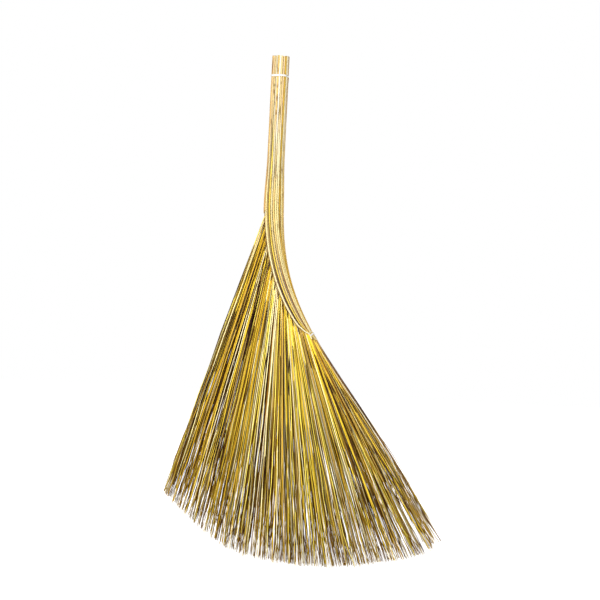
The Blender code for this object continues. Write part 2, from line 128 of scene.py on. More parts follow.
# Camera, which stands where the photograph was taken from
LENS = 100
SENSOR = 36
PHOTO_WIDTH = 1.08
CAMERA_X = 0.0558
CAMERA_Z = -0.297
CAMERA_ROLL = math.radians(2.825)

# Colours as seen, from 0 to 255. A palette also gives the weight of each.
HANDLE_PALETTE = (
    ((240, 222, 176), 5),
    ((232, 204, 144), 5),
    ((250, 238, 208), 3),
    ((232, 196, 140), 3),
    ((206, 182, 112), 2),
    ((216, 172, 70), 1),
    ((180, 134, 72), 1),
)
# The fan's strands: its dark browns are partly the strands' own colour and partly painted shade between them
FAN_PALETTE = (
    ((242, 206, 60), 5),
    ((252, 230, 96), 4),
    ((252, 240, 176), 4),
    ((222, 178, 46), 4),
    ((190, 156, 76), 4),
    ((166, 124, 36), 2),
    ((108, 70, 18), 3),
    ((230, 218, 174), 4),
)
# Inner strands: darker tones, partly their own colour and partly painted shade deep inside a hank
INNER_PALETTE = (
    ((186, 144, 40), 3),
    ((146, 102, 26), 4),
    ((96, 58, 12), 4),
    ((222, 182, 62), 3),
    ((214, 200, 146), 2),
)
WHITE_CREAM = (255, 248, 228)
CREAM = (244, 230, 186)
STRAW = (234, 208, 142)
PEACH = (240, 210, 156)
ORANGE = (242, 202, 116)
GREY_CREAM = (226, 214, 180)
GREY_BROWN = (166, 144, 100)
TAN = (206, 166, 104)
GOLDEN = (216, 174, 48)
BRIGHT_YELLOW = (242, 214, 96)
OLIVE_GOLD = (198, 160, 40)
OLIVE = (142, 118, 40)
BROWN = (140, 96, 44)
DARK_BROWN = (78, 50, 22)
TIP_BROWN = (120, 82, 26)
# Painted shadow in the gaps between strands and hanks
PAINTED_GAP_SHADOW = (44, 18, 4)
TIE_WHITE = (240, 240, 236)
TIE_GREY = (208, 206, 196)
TIE_YELLOW = (232, 196, 60)
STITCH_BROWN = (164, 132, 84)
FLECK_BROWN = (120, 84, 36)
PITH_CREAM = (226, 204, 156)
PITH_BROWN = (168, 132, 84)
FIBRE_BROWN = (150, 112, 66)
TIE_SHADE = (206, 204, 192)
STRIP_SHADE = (190, 146, 60)
STITCH_SHADE = (110, 84, 48)

# Tones of the front ribs, from the outer edge round to the inner one, at the top, the middle and the spine
TOP_TONES = (
    TAN, TAN, GREY_CREAM, CREAM, GOLDEN, PEACH, STRAW,
    WHITE_CREAM, ORANGE, GREY_CREAM, STRAW, PEACH, ORANGE, TAN,
)
MIDDLE_TONES = (
    TAN, ORANGE, STRAW, CREAM, OLIVE_GOLD, CREAM, CREAM,
    STRAW, GREY_CREAM, BRIGHT_YELLOW, GREY_BROWN, CREAM, TAN, TAN,
)
# In the spine, the dark brown of the rib next to the border rib is painted shade of the deep gap beside it
SPINE_TONES = (
    GOLDEN, GOLDEN, GOLDEN, OLIVE_GOLD, CREAM, GREY_CREAM, CREAM,
    BROWN, STRAW, BRIGHT_YELLOW, DARK_BROWN, WHITE_CREAM, TAN, TAN,
)
# Tones that the long ribs take below the lower tie, from the outer edge round
EDGE_TONES = (DARK_BROWN, DARK_BROWN, BROWN, CREAM)
SPINE_CAST = np.array([1.06, 1.0, 0.72])
# Dark dashes on the ribs: the rib's index, distance down the edge, length and tone
DASHES = (
    (12, 0.02, 0.028, BROWN),
    (13, 0.02, 0.03, BROWN),
    (8, 0.0555, 0.006, BROWN),
    (8, 0.077, 0.009, BROWN),
    (8, 0.104, 0.007, BROWN),
    (6, 0.0995, 0.016, OLIVE),
    (10, 0.054, 0.005, OLIVE),
    (10, 0.066, 0.009, BROWN),
    (7, 0.205, 0.028, GREY_BROWN),
    (4, 0.21, 0.05, OLIVE),
    (9, 0.241, 0.003, GREY_BROWN),
    (2, 0.248, 0.004, BROWN),
    (4, 0.3, 0.045, OLIVE),
)


def linear(colour):
    """A colour from 0 to 255 as the light values that Blender uses."""
    shares = [part / 255 for part in colour]
    return np.array([s / 12.92 if s <= 0.04045 else ((s + 0.055) / 1.055) ** 2.4 for s in shares])


def pick(palette, source):
    colours = [colour for colour, _ in palette]
    weights = [weight for _, weight in palette]
    return linear(source.choices(colours, weights)[0]) * source.uniform(*TONE_SPREAD)


def smooth(value):
    held = np.clip(value, 0, 1)
    return held * held * (3 - 2 * held)


def ease(value, start, length):
    """Rises smoothly from 0 at the start to 1 at the end of a length."""
    return smooth((value - start) / length)


def mix(first, second, share):
    return first + (second - first) * share


def waver(waves, s, phase):
    """Sum of waves, each with its size, its length and how often it counts a rib's own phase."""
    return sum(size * math.sin(s / length + times * phase) for size, length, times in waves)


def unit(vector):
    return vector / np.linalg.norm(vector)


# Outer edge, ring of ribs and arc of tips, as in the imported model


def swell(s):
    return ease(s, SWELL_START, SWELL_LENGTH)


def bundle_diameter(s):
    return HANDLE_DIAMETER + SPINE_SWELL * swell(s)


EDGE_REACH = ARC_CENTRE_DROP + 2 * ARC_RADIUS
EDGE_S = np.linspace(0, EDGE_REACH, EDGE_SAMPLES)
EDGE_HEADING = EDGE_BEND * ease(EDGE_S, BEND_START, BEND_LENGTH)
EDGE_STRIDE = EDGE_REACH / (EDGE_SAMPLES - 1)
EDGE_X = bundle_diameter(EDGE_S) / 2 + np.cumsum(np.sin(EDGE_HEADING)) * EDGE_STRIDE
EDGE_Z = GRIP_DROP - np.cumsum(np.cos(EDGE_HEADING)) * EDGE_STRIDE
ARC_CENTRE = np.array([ARC_CENTRE_REACH, 0, GRIP_DROP - ARC_CENTRE_DROP])


def heading_at(s):
    return np.interp(s, EDGE_S, EDGE_HEADING)


def inward(s):
    return np.array([-math.cos(heading_at(s)), 0, -math.sin(heading_at(s))])


def place(s, offset, depth=0.0):
    on_edge = np.array([np.interp(s, EDGE_S, EDGE_X), depth, np.interp(s, EDGE_S, EDGE_Z)])
    return on_edge + inward(s) * offset


def arc_place(angle):
    return ARC_CENTRE + ARC_RADIUS * np.array([math.sin(angle), 0, -math.cos(angle)])


def arc_angle(point):
    return math.atan2(point[0] - ARC_CENTRE[0], ARC_CENTRE[2] - point[2])


def reach_of_edge(offset):
    """How far down a line beside the outer edge meets the arc."""
    below = EDGE_S[EDGE_S > SPINE_END]
    points = np.array([place(s, offset) for s in below])
    return below[np.argmax(np.linalg.norm(points - ARC_CENTRE, axis=1) > ARC_RADIUS)]


EDGE_TIP = reach_of_edge(LONG_RIB_REACH)


def rib_radius(s):
    return mix(BUTT_DIAMETER, RIB_TIP_DIAMETER, s / EDGE_TIP) / 2


def rib_angle(index):
    angle = 2 * math.pi * index / RIB_COUNT
    return angle if angle <= math.pi else angle - 2 * math.pi


def ring_place(angle, s, sink=0.0):
    """Offset and depth of a rib in the bundle's ring, or in a ring sunk below it."""
    ring = bundle_diameter(s) / 2 - rib_radius(s) - sink
    power = mix(1, SQUARE_POWER, swell(s)) if abs(angle) > math.pi / 2 else 1
    depth = math.copysign(abs(math.sin(angle)) ** power, math.sin(angle)) * ring
    return rib_radius(s) + sink + ring * (1 - math.cos(angle)), -depth


def ring_depth(offset, s):
    ring = bundle_diameter(s) / 2 - rib_radius(s)
    turn = 1 - (offset - rib_radius(s)) / ring
    return ring_place(math.acos(max(-1, min(1, turn))), s)[1]


def ring_offset(index):
    """Offset of a rib of the ring where the spine starts."""
    return ring_place(rib_angle(index), SPINE_START)[0]


def spine_share(s):
    return min(max((s - SPINE_START) / (SPINE_END - SPINE_START), 0), 1)


def packed_border(s):
    """Offset of the rib that borders the spine and crosses the others as it narrows."""
    if s <= SPINE_START:
        return ring_place(rib_angle(EDGE_RIB), s)[0]
    return mix(SPINE_END_WIDTH, ring_offset(EDGE_RIB), math.sqrt(1 - spine_share(s) ** SPINE_TAPER_POWER))


def edge_rib_offset(s):
    """Offset of the border rib, with its end drawn in by the lower tie."""
    drawn = ease(spine_share(s), TIE_DRAWS_FROM_SHARE, 1 - TIE_DRAWS_FROM_SHARE)
    return packed_border(s) - TIE_DRAWS_IN * drawn


def root_at(s):
    return place(s, edge_rib_offset(s))


def gathered(offset, s):
    """Offset of a rib of the spine, which draws in towards the lower tie with its neighbours."""
    if s <= SPINE_START:
        return offset
    edge = rib_radius(s)
    middle_first = ring_offset(MIDDLE_RIB)
    middle = mix(middle_first, MIDDLE_RIB_AT_TIE, spine_share(s))
    if offset <= middle_first:
        return edge + (middle - edge) * max(0.0, (offset - edge) / (middle_first - edge))
    border_first = ring_offset(EDGE_RIB)
    return mix(middle, edge_rib_offset(s), (offset - middle_first) / (border_first - middle_first))


BUNDLE_RADIUS = bundle_diameter(SPINE_START) / 2
BUNDLE_INSIDE = BUNDLE_RADIUS - 2 * rib_radius(SPINE_START) - GAP
BACKBONE_START_OFFSET = BUNDLE_RADIUS - math.sqrt(BUNDLE_INSIDE**2 - (BACKBONE_DEPTH / 2) ** 2)
BACKBONE_INNER = BACKBONE_START_OFFSET + BACKBONE_WIDTH
LAST_BORDER = LONG_RIB_REACH + rib_radius(SPINE_END) + GAP
ROOT_OF_LAST = SPINE_END + LOWER_BAND_DROP + LOWER_TIE_OVERHANG + GAP


# Materials. Grain: scale round the rib, scale along it and detail
STREAKS = (9, 2.6, 4)
FLECKS = (2.4, 9, 3)
PATCHES = (5, 7, 3)
GROOVES = (22, 3, 5)
CREASES = (14, 6, 4)
GRAIN_ROUGHNESS = 0.6
# Ranges: low, high, and the values of the noise that they stand for
STREAK_RANGE = (0.72, 1.2, 0.3, 0.72)
FLECK_NOISE = (0.62, 0.72)
FIBRE_RANGE = (1.0, 0.0, 0.15, 0.5)
PITH_RANGE = (0.0, 0.5, 0.4, 0.75)
CREASE_RANGE = (0.0, 0.45, 0.35, 0.75)
# Cut ends and films
FIBRE_SCALE = 2600.0
PITH_SCALE = 420.0
PITH_ROUGHNESS = 0.8
FILM_SCATTER = 0.08
FILM_SCATTER_REACH = 0.002
# How much smoother and rougher than its mean a finish gets
RIB_ROUGHNESS_SPREAD = (0.1, 0.12)
FILM_ROUGHNESS_SPREAD = (0.08, 0.14)


def opaque(colour):
    return (*linear(colour), 1)


def add_node(tree, kind, **values):
    node = tree.nodes.new(kind)
    for name, value in values.items():
        if name in node.inputs:
            node.inputs[name].default_value = value
        else:
            setattr(node, name, value)
    return node


def stretched_noise(tree, scale_round, scale_along, detail):
    """Noise drawn out along the rib: UV runs round the rib and down its length in decimetres."""
    place_on = add_node(tree, "ShaderNodeUVMap", uv_map="rib_uv")
    scaled = add_node(tree, "ShaderNodeMapping")
    scaled.inputs["Scale"].default_value = (scale_round, scale_along, 1)
    noise = add_node(tree, "ShaderNodeTexNoise", Scale=1.0, Detail=detail, Roughness=GRAIN_ROUGHNESS)
    tree.links.new(place_on.outputs[0], scaled.inputs["Vector"])
    tree.links.new(scaled.outputs[0], noise.inputs["Vector"])
    return noise.outputs["Fac"]


def ranged(tree, value, low, high, from_low=0.0, from_high=1.0):
    node = add_node(tree, "ShaderNodeMapRange")
    node.inputs["From Min"].default_value = from_low
    node.inputs["From Max"].default_value = from_high
    node.inputs["To Min"].default_value = low
    node.inputs["To Max"].default_value = high
    tree.links.new(value, node.inputs["Value"])
    return node.outputs[0]


def blended(tree, kind, share, first, second):
    node = add_node(tree, "ShaderNodeMix", data_type="RGBA", blend_type=kind)
    for socket, value in ((0, share), (6, first), (7, second)):
        if hasattr(value, "is_linked"):
            tree.links.new(value, node.inputs[socket])
        else:
            node.inputs[socket].default_value = value
    return node.outputs[2]


def new_material(name):
    made = bpy.data.materials.new(name)
    made.use_nodes = True
    return made, made.node_tree, made.node_tree.nodes["Principled BSDF"]


def roughen(tree, shader, noise, roughness, spread):
    smoother, rougher = spread
    rough = ranged(tree, noise, roughness - smoother, roughness + rougher)
    tree.links.new(rough, shader.inputs["Roughness"])


def add_bump(tree, shader, height, strength, distance):
    bump = add_node(tree, "ShaderNodeBump", Strength=strength, Distance=distance)
    tree.links.new(height, bump.inputs["Height"])
    tree.links.new(bump.outputs[0], shader.inputs["Normal"])


def rib_material(name, roughness, fleck_strength, sheen):
    """Dry leaf rib: fibre streaks, bark flecks and fine grooves over the rib's own colour."""
    made, tree, shader = new_material(name)
    own = add_node(tree, "ShaderNodeVertexColor", layer_name="rib_colour").outputs["Color"]
    streaks = ranged(tree, stretched_noise(tree, *STREAKS), *STREAK_RANGE)
    grey = add_node(tree, "ShaderNodeCombineColor")
    for socket in grey.inputs:
        tree.links.new(streaks, socket)
    streaked = blended(tree, "MULTIPLY", 1.0, own, grey.outputs[0])
    flecks = ranged(tree, stretched_noise(tree, *FLECKS), 0.0, fleck_strength, *FLECK_NOISE)
    flecked = blended(tree, "MIX", flecks, streaked, opaque(FLECK_BROWN))
    tree.links.new(flecked, shader.inputs["Base Color"])
    roughen(tree, shader, stretched_noise(tree, *PATCHES), roughness, RIB_ROUGHNESS_SPREAD)
    shader.inputs["Specular IOR Level"].default_value = sheen
    add_bump(tree, shader, stretched_noise(tree, *GROOVES), strength=0.35, distance=0.0003)
    return made


def cut_material(name):
    """Cut end of a rib: pale pith with darker fibre dots."""
    made, tree, shader = new_material(name)
    spot = add_node(tree, "ShaderNodeTexCoord").outputs["Object"]
    fibres = add_node(tree, "ShaderNodeTexVoronoi", Scale=FIBRE_SCALE)
    tree.links.new(spot, fibres.inputs["Vector"])
    dots = ranged(tree, fibres.outputs["Distance"], *FIBRE_RANGE)
    pith = blended(tree, "MIX", dots, opaque(PITH_CREAM), opaque(FIBRE_BROWN))
    broad = add_node(tree, "ShaderNodeTexNoise", Scale=PITH_SCALE, Detail=3.0)
    tree.links.new(spot, broad.inputs["Vector"])
    shade = ranged(tree, broad.outputs["Fac"], *PITH_RANGE)
    tree.links.new(blended(tree, "MIX", shade, pith, opaque(PITH_BROWN)), shader.inputs["Base Color"])
    shader.inputs["Roughness"].default_value = PITH_ROUGHNESS
    add_bump(tree, shader, fibres.outputs["Distance"], strength=0.5, distance=0.0003)
    return made


def film_material(name, colour, shade, roughness):
    """Plastic film or cord, creased along its run."""
    made, tree, shader = new_material(name)
    creases = stretched_noise(tree, *CREASES)
    share = ranged(tree, creases, *CREASE_RANGE)
    tree.links.new(blended(tree, "MIX", share, opaque(colour), opaque(shade)), shader.inputs["Base Color"])
    roughen(tree, shader, creases, roughness, FILM_ROUGHNESS_SPREAD)
    shader.inputs["Subsurface Weight"].default_value = FILM_SCATTER
    shader.inputs["Subsurface Radius"].default_value = (FILM_SCATTER_REACH,) * 3
    add_bump(tree, shader, creases, strength=0.5, distance=0.0004)
    return made


HANDLE_RIB = rib_material("handle_rib_finish", roughness=0.5, fleck_strength=0.5, sheen=0.4)
FAN_RIB = rib_material("fan_rib_finish", roughness=0.6, fleck_strength=0.6, sheen=0.1)
CUT_END = cut_material("cut_end_finish")
TIE_FILM = film_material("tie_film", TIE_WHITE, TIE_SHADE, roughness=0.38)
TIE_STRIP = film_material("tie_strip", TIE_YELLOW, STRIP_SHADE, roughness=0.5)
STITCH = film_material("stitch_cord", STITCH_BROWN, STITCH_SHADE, roughness=0.75)


# Meshes of many ribs
UV_PER_METRE = 10
GRAIN_SHIFT = 40
# Painted side shade on the ribs: how it falls off round a rib and the brown cast it takes
SIDE_SHADE_POWER = 1.3
SIDE_SHADE_CAST = np.array([0.9, 1.0, 1.08])
SHARP_ANGLE = math.radians(60)
FRONT = (0, -1, 0)


def new_object(name, data):
    made = bpy.data.objects.new(name, data)
    bpy.context.scene.collection.objects.link(made)
    return made


class Bundle:
    """Gathers ribs, each a closed tube with its own widths and colours, into one mesh."""

    def __init__(self, grain_shift=GRAIN_SHIFT):
        self.grain_shift = grain_shift
        self.points = []
        self.faces = []
        self.uvs = []
        self.colours = []
        self.finishes = []
        self.count = 0

    def add(self, path, widths, sides, colours, flatness=0.8, facing=FRONT, source=None, dusk=0.0):
        """Adds a rib, its lit face turned to facing. The rest gets painted side shade, partly the rib's own
        darker edges. A source shifts the grain.
        """
        path = np.asarray(path, float)
        rows = len(path)
        runs = np.gradient(path, axis=0)
        runs /= np.linalg.norm(runs, axis=1)[:, None]
        outs = np.broadcast_to(np.asarray(facing, float), (rows, 3))
        across = np.cross(runs, outs)
        across /= np.linalg.norm(across, axis=1)[:, None]
        outs = np.cross(across, runs)
        half = np.broadcast_to(np.asarray(widths, float), rows)[:, None, None] / 2
        turns = 2 * np.pi * (np.arange(sides) + 0.5) / sides
        ring = (
            across[:, None, :] * np.cos(turns)[None, :, None]
            + outs[:, None, :] * np.sin(turns)[None, :, None] * flatness
        )
        points = path[:, None, :] + ring * half
        self.points.append(points.reshape(-1, 3))
        colours = np.broadcast_to(np.asarray(colours, float), (rows, 3))
        # Painted side shade: the sides turned away from the facing are darkened and browned
        away = (1 - np.clip(np.sin(turns), 0, 1)) ** SIDE_SHADE_POWER * dusk
        side_shading = 1 - away[:, None] * SIDE_SHADE_CAST
        self.colours.append((colours[:, None, :] * side_shading[None, :, :]).reshape(-1, 3))
        steps = np.linalg.norm(np.diff(path, axis=0), axis=1)
        shift = source.random() * self.grain_shift if source else 0.0
        down = np.concatenate([[0], np.cumsum(steps)]) * UV_PER_METRE + shift
        for row in range(rows - 1):
            for k in range(sides):
                a = self.count + row * sides + k
                b = self.count + row * sides + (k + 1) % sides
                self.faces.append((a, b, b + sides, a + sides))
                left, right = k / sides, (k + 1) / sides
                high, low = down[row:row + 2]
                self.uvs += [(left, high), (right, high), (right, low), (left, low)]
        last = self.count + (rows - 1) * sides
        self.faces.append(tuple(range(self.count + sides - 1, self.count - 1, -1)))
        self.faces.append(tuple(range(last, last + sides)))
        self.uvs += [(k / sides, end) for end in (down[0], down[-1]) for k in range(sides)]
        self.finishes += [0] * ((rows - 1) * sides) + [1, 1]
        self.count += rows * sides

    def build(self, name, finish, replaced, end_finish=None):
        mesh = bpy.data.meshes.new(name)
        mesh.from_pydata(np.concatenate(self.points).tolist(), [], self.faces)
        layer = mesh.uv_layers.new(name="rib_uv")
        layer.data.foreach_set("uv", np.asarray(self.uvs, float).ravel())
        attribute = mesh.color_attributes.new("rib_colour", "FLOAT_COLOR", "POINT")
        colours = np.concatenate(self.colours)
        colours = np.hstack([colours, np.ones((len(colours), 1))])
        attribute.data.foreach_set("color", colours.ravel())
        mesh.materials.append(finish)
        mesh.materials.append(end_finish or finish)
        mesh.polygons.foreach_set("material_index", self.finishes)
        mesh.shade_smooth()
        mesh.set_sharp_from_angle(angle=SHARP_ANGLE)
        made = new_object(name, mesh)
        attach(made, "root")
        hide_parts(*replaced)


# Paths and shapes of the handle's ribs
PATH_STEP = 0.004
FEWEST_STEPS = 8
RIB_SIDES = 10
THIN_SIDES = 8
RIB_FLATNESS = 0.92
THIN_FLATNESS = 0.9
# Painted side shade of the handle's ribs
RIB_SIDE_SHADE = 0.11
RIB_WIDTHS = (0.98, 1.1)


def steps_round(index):
    """How many places round the ring a rib lies from the outer edge."""
    return min(index % RIB_COUNT, RIB_COUNT - index % RIB_COUNT)


def rib_end(index):
    """How far down a rib reaches: under the border rib, through the lower tie or to the arc of the tips."""
    offset = ring_offset(index)
    if steps_round(index) == EDGE_RIB:
        return SPINE_END + LOWER_BAND_DROP + LOWER_TIE_OVERHANG
    if steps_round(index) > EDGE_RIB:
        room = offset - rib_radius(SPINE_START) - GAP - edge_rib_offset(SPINE_START)
        return SPINE_START + room / math.tan(FAN_LEFT_ANGLE + heading_at(SPINE_START))
    if offset < LONG_RIB_REACH:
        return reach_of_edge(offset)
    return SPINE_END + mix(BELOW_TIE_REACH, BORDER_BELOW_TIE, steps_round(index) / EDGE_RIB)


# Loose ribs of the outer edge: out round a middle, then back in over a band with its start and length
LOOSE_START = 0.04
LOOSE_LENGTH = 0.2
SWAY_OUT = 0.0008
SWAY_MIDDLE = 0.76
SWAY_SPREAD = 0.07
SWAY_BACK = 0.009
SWAY_BACK_BAND = (0.74, 0.16)


def edge_sway(s):
    """How far the loose ribs of the outer edge stand off it: out at first, then in at their tips."""
    out = SWAY_OUT * np.exp(-(((s - SWAY_MIDDLE) / SWAY_SPREAD) ** 2))
    return out - SWAY_BACK * ease(s, *SWAY_BACK_BAND)


def ring_facing(s, offset, depth):
    """The way out from the bundle's middle at a place on the ring."""
    centre = place(s, bundle_diameter(s) / 2)
    return unit(place(s, offset, depth) - centre)


# Colours down a rib: bands with their start and length, wander, dashes and flecks
TONE_BANDS = ((0.11, 0.07), (0.3, 0.1))
BAND_WANDER = 0.03
FRONT_SHADES = (0.94, 1.04)
WANDER_LENGTHS = (0.006, 0.05)
TONE_WANDER = 0.025
DASH_FULL = 1.2
DASH_POWER = 0.6
DASH_STRENGTH = 0.85
FLECK_COUNT = 5
FLECK_REACH = 0.5
FLECK_HALVES = (0.002, 0.007)
FLECK_STRENGTHS = (0.2, 0.6)
CAST_BAND = (0.16, 0.12)
FAN_TONE_LENGTH = 0.06
TIP_BAND = (0.72, 0.2)
TIP_BROWNING = 0.6


def rib_colours(index, spots, source):
    """Colours down one handle rib: its tones, its dark dashes, and the fan's colours below the spine."""
    tones = [pick(HANDLE_PALETTE, source) for _ in range(3)]
    if index < len(TOP_TONES):
        shade = source.uniform(*FRONT_SHADES)
        tones = [linear(group[index]) * shade for group in (TOP_TONES, MIDDLE_TONES, SPINE_TONES)]
    own = np.tile(tones[0], (len(spots), 1))
    for after, (start, length) in zip(tones[1:], TONE_BANDS):
        begin = start + source.uniform(-BAND_WANDER, BAND_WANDER)
        own = mix(own, after, ease(spots, begin, length)[:, None])
    wander = sum(np.sin(spots / source.uniform(*WANDER_LENGTHS) + source.uniform(*PHASES)) for _ in range(3))
    own = own * (1 + TONE_WANDER * wander)[:, None]
    for rib, middle, length, tone in DASHES:
        if rib == index:
            near = np.clip(DASH_FULL - np.abs(spots - middle) / (length / 2), 0, 1) ** DASH_POWER
            own = mix(own, linear(tone), near[:, None] * DASH_STRENGTH)
    for _ in range(FLECK_COUNT):
        fleck = source.uniform(0, FLECK_REACH)
        near = np.clip(1 - np.abs(spots - fleck) / source.uniform(*FLECK_HALVES), 0, 1)
        own = mix(own, linear(BROWN), near[:, None] * source.uniform(*FLECK_STRENGTHS))
    own = own * mix(np.ones(3), SPINE_CAST, ease(spots, *CAST_BAND)[:, None])
    fan_tone = linear(EDGE_TONES[index]) if index < len(EDGE_TONES) else pick(FAN_PALETTE, source)
    own = mix(own, fan_tone, ease(spots, SPINE_END, FAN_TONE_LENGTH)[:, None])
    return mix(own, linear(TIP_BROWN), ease(spots, *TIP_BAND)[:, None] * TIP_BROWNING)


# The thin rib beside a border rib, darkened tan as painted shade along its inner side: ends and steps, and
# sink, distance and width in radii of a rib
BESIDE_START = 0.01
BESIDE_END = 0.006
BESIDE_STEPS = 60
BESIDE_SINK = 0.4
BESIDE_ASIDE = 1.6
BESIDE_WIDTH = 1.3
BESIDE_TAPER = 0.5
# How dark its painted shade is, and the painted side shade of thin ribs
BESIDE_PAINTED_SHADE = 0.8
THIN_SIDE_SHADE = 0.4


def add_shade_beside_border(bundle, side, tone, source):
    """A thin rib that follows the border rib of the spine on its inner side, darkened tan as painted shade
    beside it.
    """
    radius = rib_radius(SPINE_START)
    spots = np.linspace(SPINE_START + BESIDE_START, SPINE_END - BESIDE_END, BESIDE_STEPS)
    path, outs = [], []
    for s in spots:
        offset = edge_rib_offset(s)
        depth = side * (abs(ring_depth(offset, s)) - BESIDE_SINK * radius)
        path.append(place(s, offset + BESIDE_ASIDE * radius, depth))
        outs.append(ring_facing(s, offset, depth))
    widths = BESIDE_WIDTH * radius * (1 - BESIDE_TAPER * np.linspace(0, 1, BESIDE_STEPS))
    bundle.add(path, widths, THIN_SIDES, tone, THIN_FLATNESS, outs, source, THIN_SIDE_SHADE)


# Ribs on the spine: how much broader they get, over what length that fades, and how the short ones dive
SPINE_BROADENING = 0.16
BROADENING_FADE = 0.2
BORDER_BROADENING = 0.3
BORDER_BROADENING_LENGTH = 0.03
BORDER_LIFT = 0.0004
BORDER_LIFT_LENGTH = 0.02
SPREAD_AGAIN_LENGTH = 0.05
DIVE_IN = 0.7
DIVE_DOWN = 0.45
# Waves: size, length and how often the rib's own phase counts
RING_WAVES = ((0.03, 0.05, 1), (0.012, 0.017, 2))
LOOSE_WAVES = ((0.0012, 0.03, 1),)
LOOSE_DEPTH_WAVES = ((0.002, 0.05, 2),)
WIDTH_WAVES = ((0.05, 0.021, 1),)


def outer_rib_place(index, s, wave):
    """Offset and depth of an outer rib on the ring, on the spine and below the lower tie."""
    turn = rib_angle(index) + waver(RING_WAVES, s, wave) * (1 - swell(s))
    offset, depth = ring_place(turn, s)
    if s <= SPINE_START:
        return offset, depth
    if steps_round(index) == EDGE_RIB:
        offset = edge_rib_offset(s)
        lift = BORDER_LIFT * ease(s, SPINE_START, BORDER_LIFT_LENGTH)
        return offset, math.copysign(abs(ring_depth(offset, s)) + lift, depth)
    if steps_round(index) < EDGE_RIB:
        is_long = ring_offset(index) < LONG_RIB_REACH
        offset = mix(gathered(offset, s), offset, ease(s, SPINE_END, SPREAD_AGAIN_LENGTH) if is_long else 0)
        depth = math.copysign(abs(ring_depth(offset, s)), depth)
        if not is_long:
            dive = ease(s, SPINE_END, BELOW_TIE_REACH)
            return offset * (1 - DIVE_IN * dive), depth * (1 - DIVE_DOWN * dive)
    return offset, depth


def make_handle_ribs():
    for index in range(RIB_COUNT):
        source = random.Random(HANDLE_SEED + index)
        end = rib_end(index)
        top = source.uniform(0, RAGGED_END)
        spots = np.linspace(top, end, max(FEWEST_STEPS, int((end - top) / PATH_STEP)))
        wide = source.uniform(*RIB_WIDTHS)
        wave = source.uniform(0, 2 * math.pi)
        border = steps_round(index) == EDGE_RIB
        path, widths, outs = [], [], []
        for s in spots:
            offset, depth = outer_rib_place(index, s, wave)
            outs.append(ring_facing(s, offset, depth))
            if s > SPINE_END:
                loose = ease(s, SPINE_END + LOOSE_START, LOOSE_LENGTH)
                offset -= edge_sway(s) + loose * waver(LOOSE_WAVES, s, wave)
                depth += loose * waver(LOOSE_DEPTH_WAVES, s, wave)
            path.append(place(s, offset, depth))
            spread = 1 + SPINE_BROADENING * swell(s) * (1 - ease(s, SPINE_START, BROADENING_FADE))
            if border:
                spread *= 1 + BORDER_BROADENING * ease(s, SPINE_START, BORDER_BROADENING_LENGTH)
            widths.append(2 * rib_radius(s) * wide * spread * (1 + waver(WIDTH_WAVES, s, wave)))
        bundle = Bundle()
        colours = rib_colours(index, spots, source)
        bundle.add(path, widths, RIB_SIDES, colours, RIB_FLATNESS, outs, source, RIB_SIDE_SHADE)
        if border:
            side = -1 if index == EDGE_RIB else 1
            # Painted shade along the border rib
            add_shade_beside_border(bundle, side, linear(TAN) * BESIDE_PAINTED_SHADE, source)
        name = f"handle_rib_{index + 1:02d}"
        bundle.build(name, HANDLE_RIB, [name], CUT_END)


# The ring of inner ribs, the ribs packed inside it and the spine's core
INNER_SINK = 0.0021
INNER_DEEPER = 1.3
INNER_SHORTER = 0.01
INNER_BROADENING = 0.25
# Painted shade on the sunk inner ring
INNER_RING_PAINTED_SHADE = 0.62
INNER_STRIDE = 3
PACKED_RINGS = 4
MORE_PER_RING = 6
PACKED_PITCH = 1.02
PACKED_TWIST = 0.3
PACKED_WIDTHS = (0.85, 1.02)
PACKED_STEPS = 6
PACKED_FLATNESS = 0.95
CORE_ROWS = 6
CORE_COLUMNS = 2
CORE_STEPS = 24
CORE_LOOSENESS = 2.1
CORE_SHADE = 0.7


def add_inner_ring(bundle, source):
    """Second ring of ribs, which shows between the outer ones, darkened by painted shade."""
    for index in range(RIB_COUNT):
        angle = rib_angle(index + 0.5)
        end = min(rib_end(index + 0.5), SPINE_END) - INNER_SHORTER
        steps = max(FEWEST_STEPS, int(end / PATH_STEP / INNER_STRIDE))
        spots = np.linspace(source.uniform(0, RAGGED_END), end, steps)
        path, widths, outs = [], [], []
        for s in spots:
            offset, depth = ring_place(angle, s, INNER_SINK)
            if s > SPINE_START and steps_round(index) < EDGE_RIB:
                offset = max(gathered(offset, s), INNER_SINK)
                depth = math.copysign(max(0, abs(ring_depth(offset, s)) - INNER_DEEPER * INNER_SINK), depth)
            path.append(place(s, offset, depth))
            outs.append(ring_facing(s, offset, depth))
            widths.append(2 * rib_radius(s) * (1 + INNER_BROADENING * swell(s)))
        tone = pick(HANDLE_PALETTE, source) * INNER_RING_PAINTED_SHADE
        bundle.add(path, widths, THIN_SIDES, tone, THIN_FLATNESS, outs, source)


def add_packed_ribs(bundle, source):
    """Rings of straight ribs that fill the handle, one inside another."""
    for ring in range(PACKED_RINGS):
        count = max(1, MORE_PER_RING * ring)
        radius = ring * BUTT_DIAMETER * PACKED_PITCH
        for k in range(count):
            turn = 2 * math.pi * k / count + PACKED_TWIST * ring
            x, y = radius * math.cos(turn), radius * math.sin(turn)
            top = GRIP_DROP - source.uniform(0, RAGGED_END)
            shares = np.linspace(0, 1, PACKED_STEPS)
            path = [(x, y, mix(top, GRIP_DROP - SPINE_START, share)) for share in shares]
            width = BUTT_DIAMETER * source.uniform(*PACKED_WIDTHS)
            tone = pick(HANDLE_PALETTE, source)
            bundle.add(path, width, THIN_SIDES, tone, PACKED_FLATNESS, FRONT, source)


def make_inner_ribs():
    bundle = Bundle()
    source = random.Random(INNER_SEED)
    add_inner_ring(bundle, source)
    add_packed_ribs(bundle, source)
    bundle.build("inner_ribs", HANDLE_RIB, ["inner_ribs"], CUT_END)


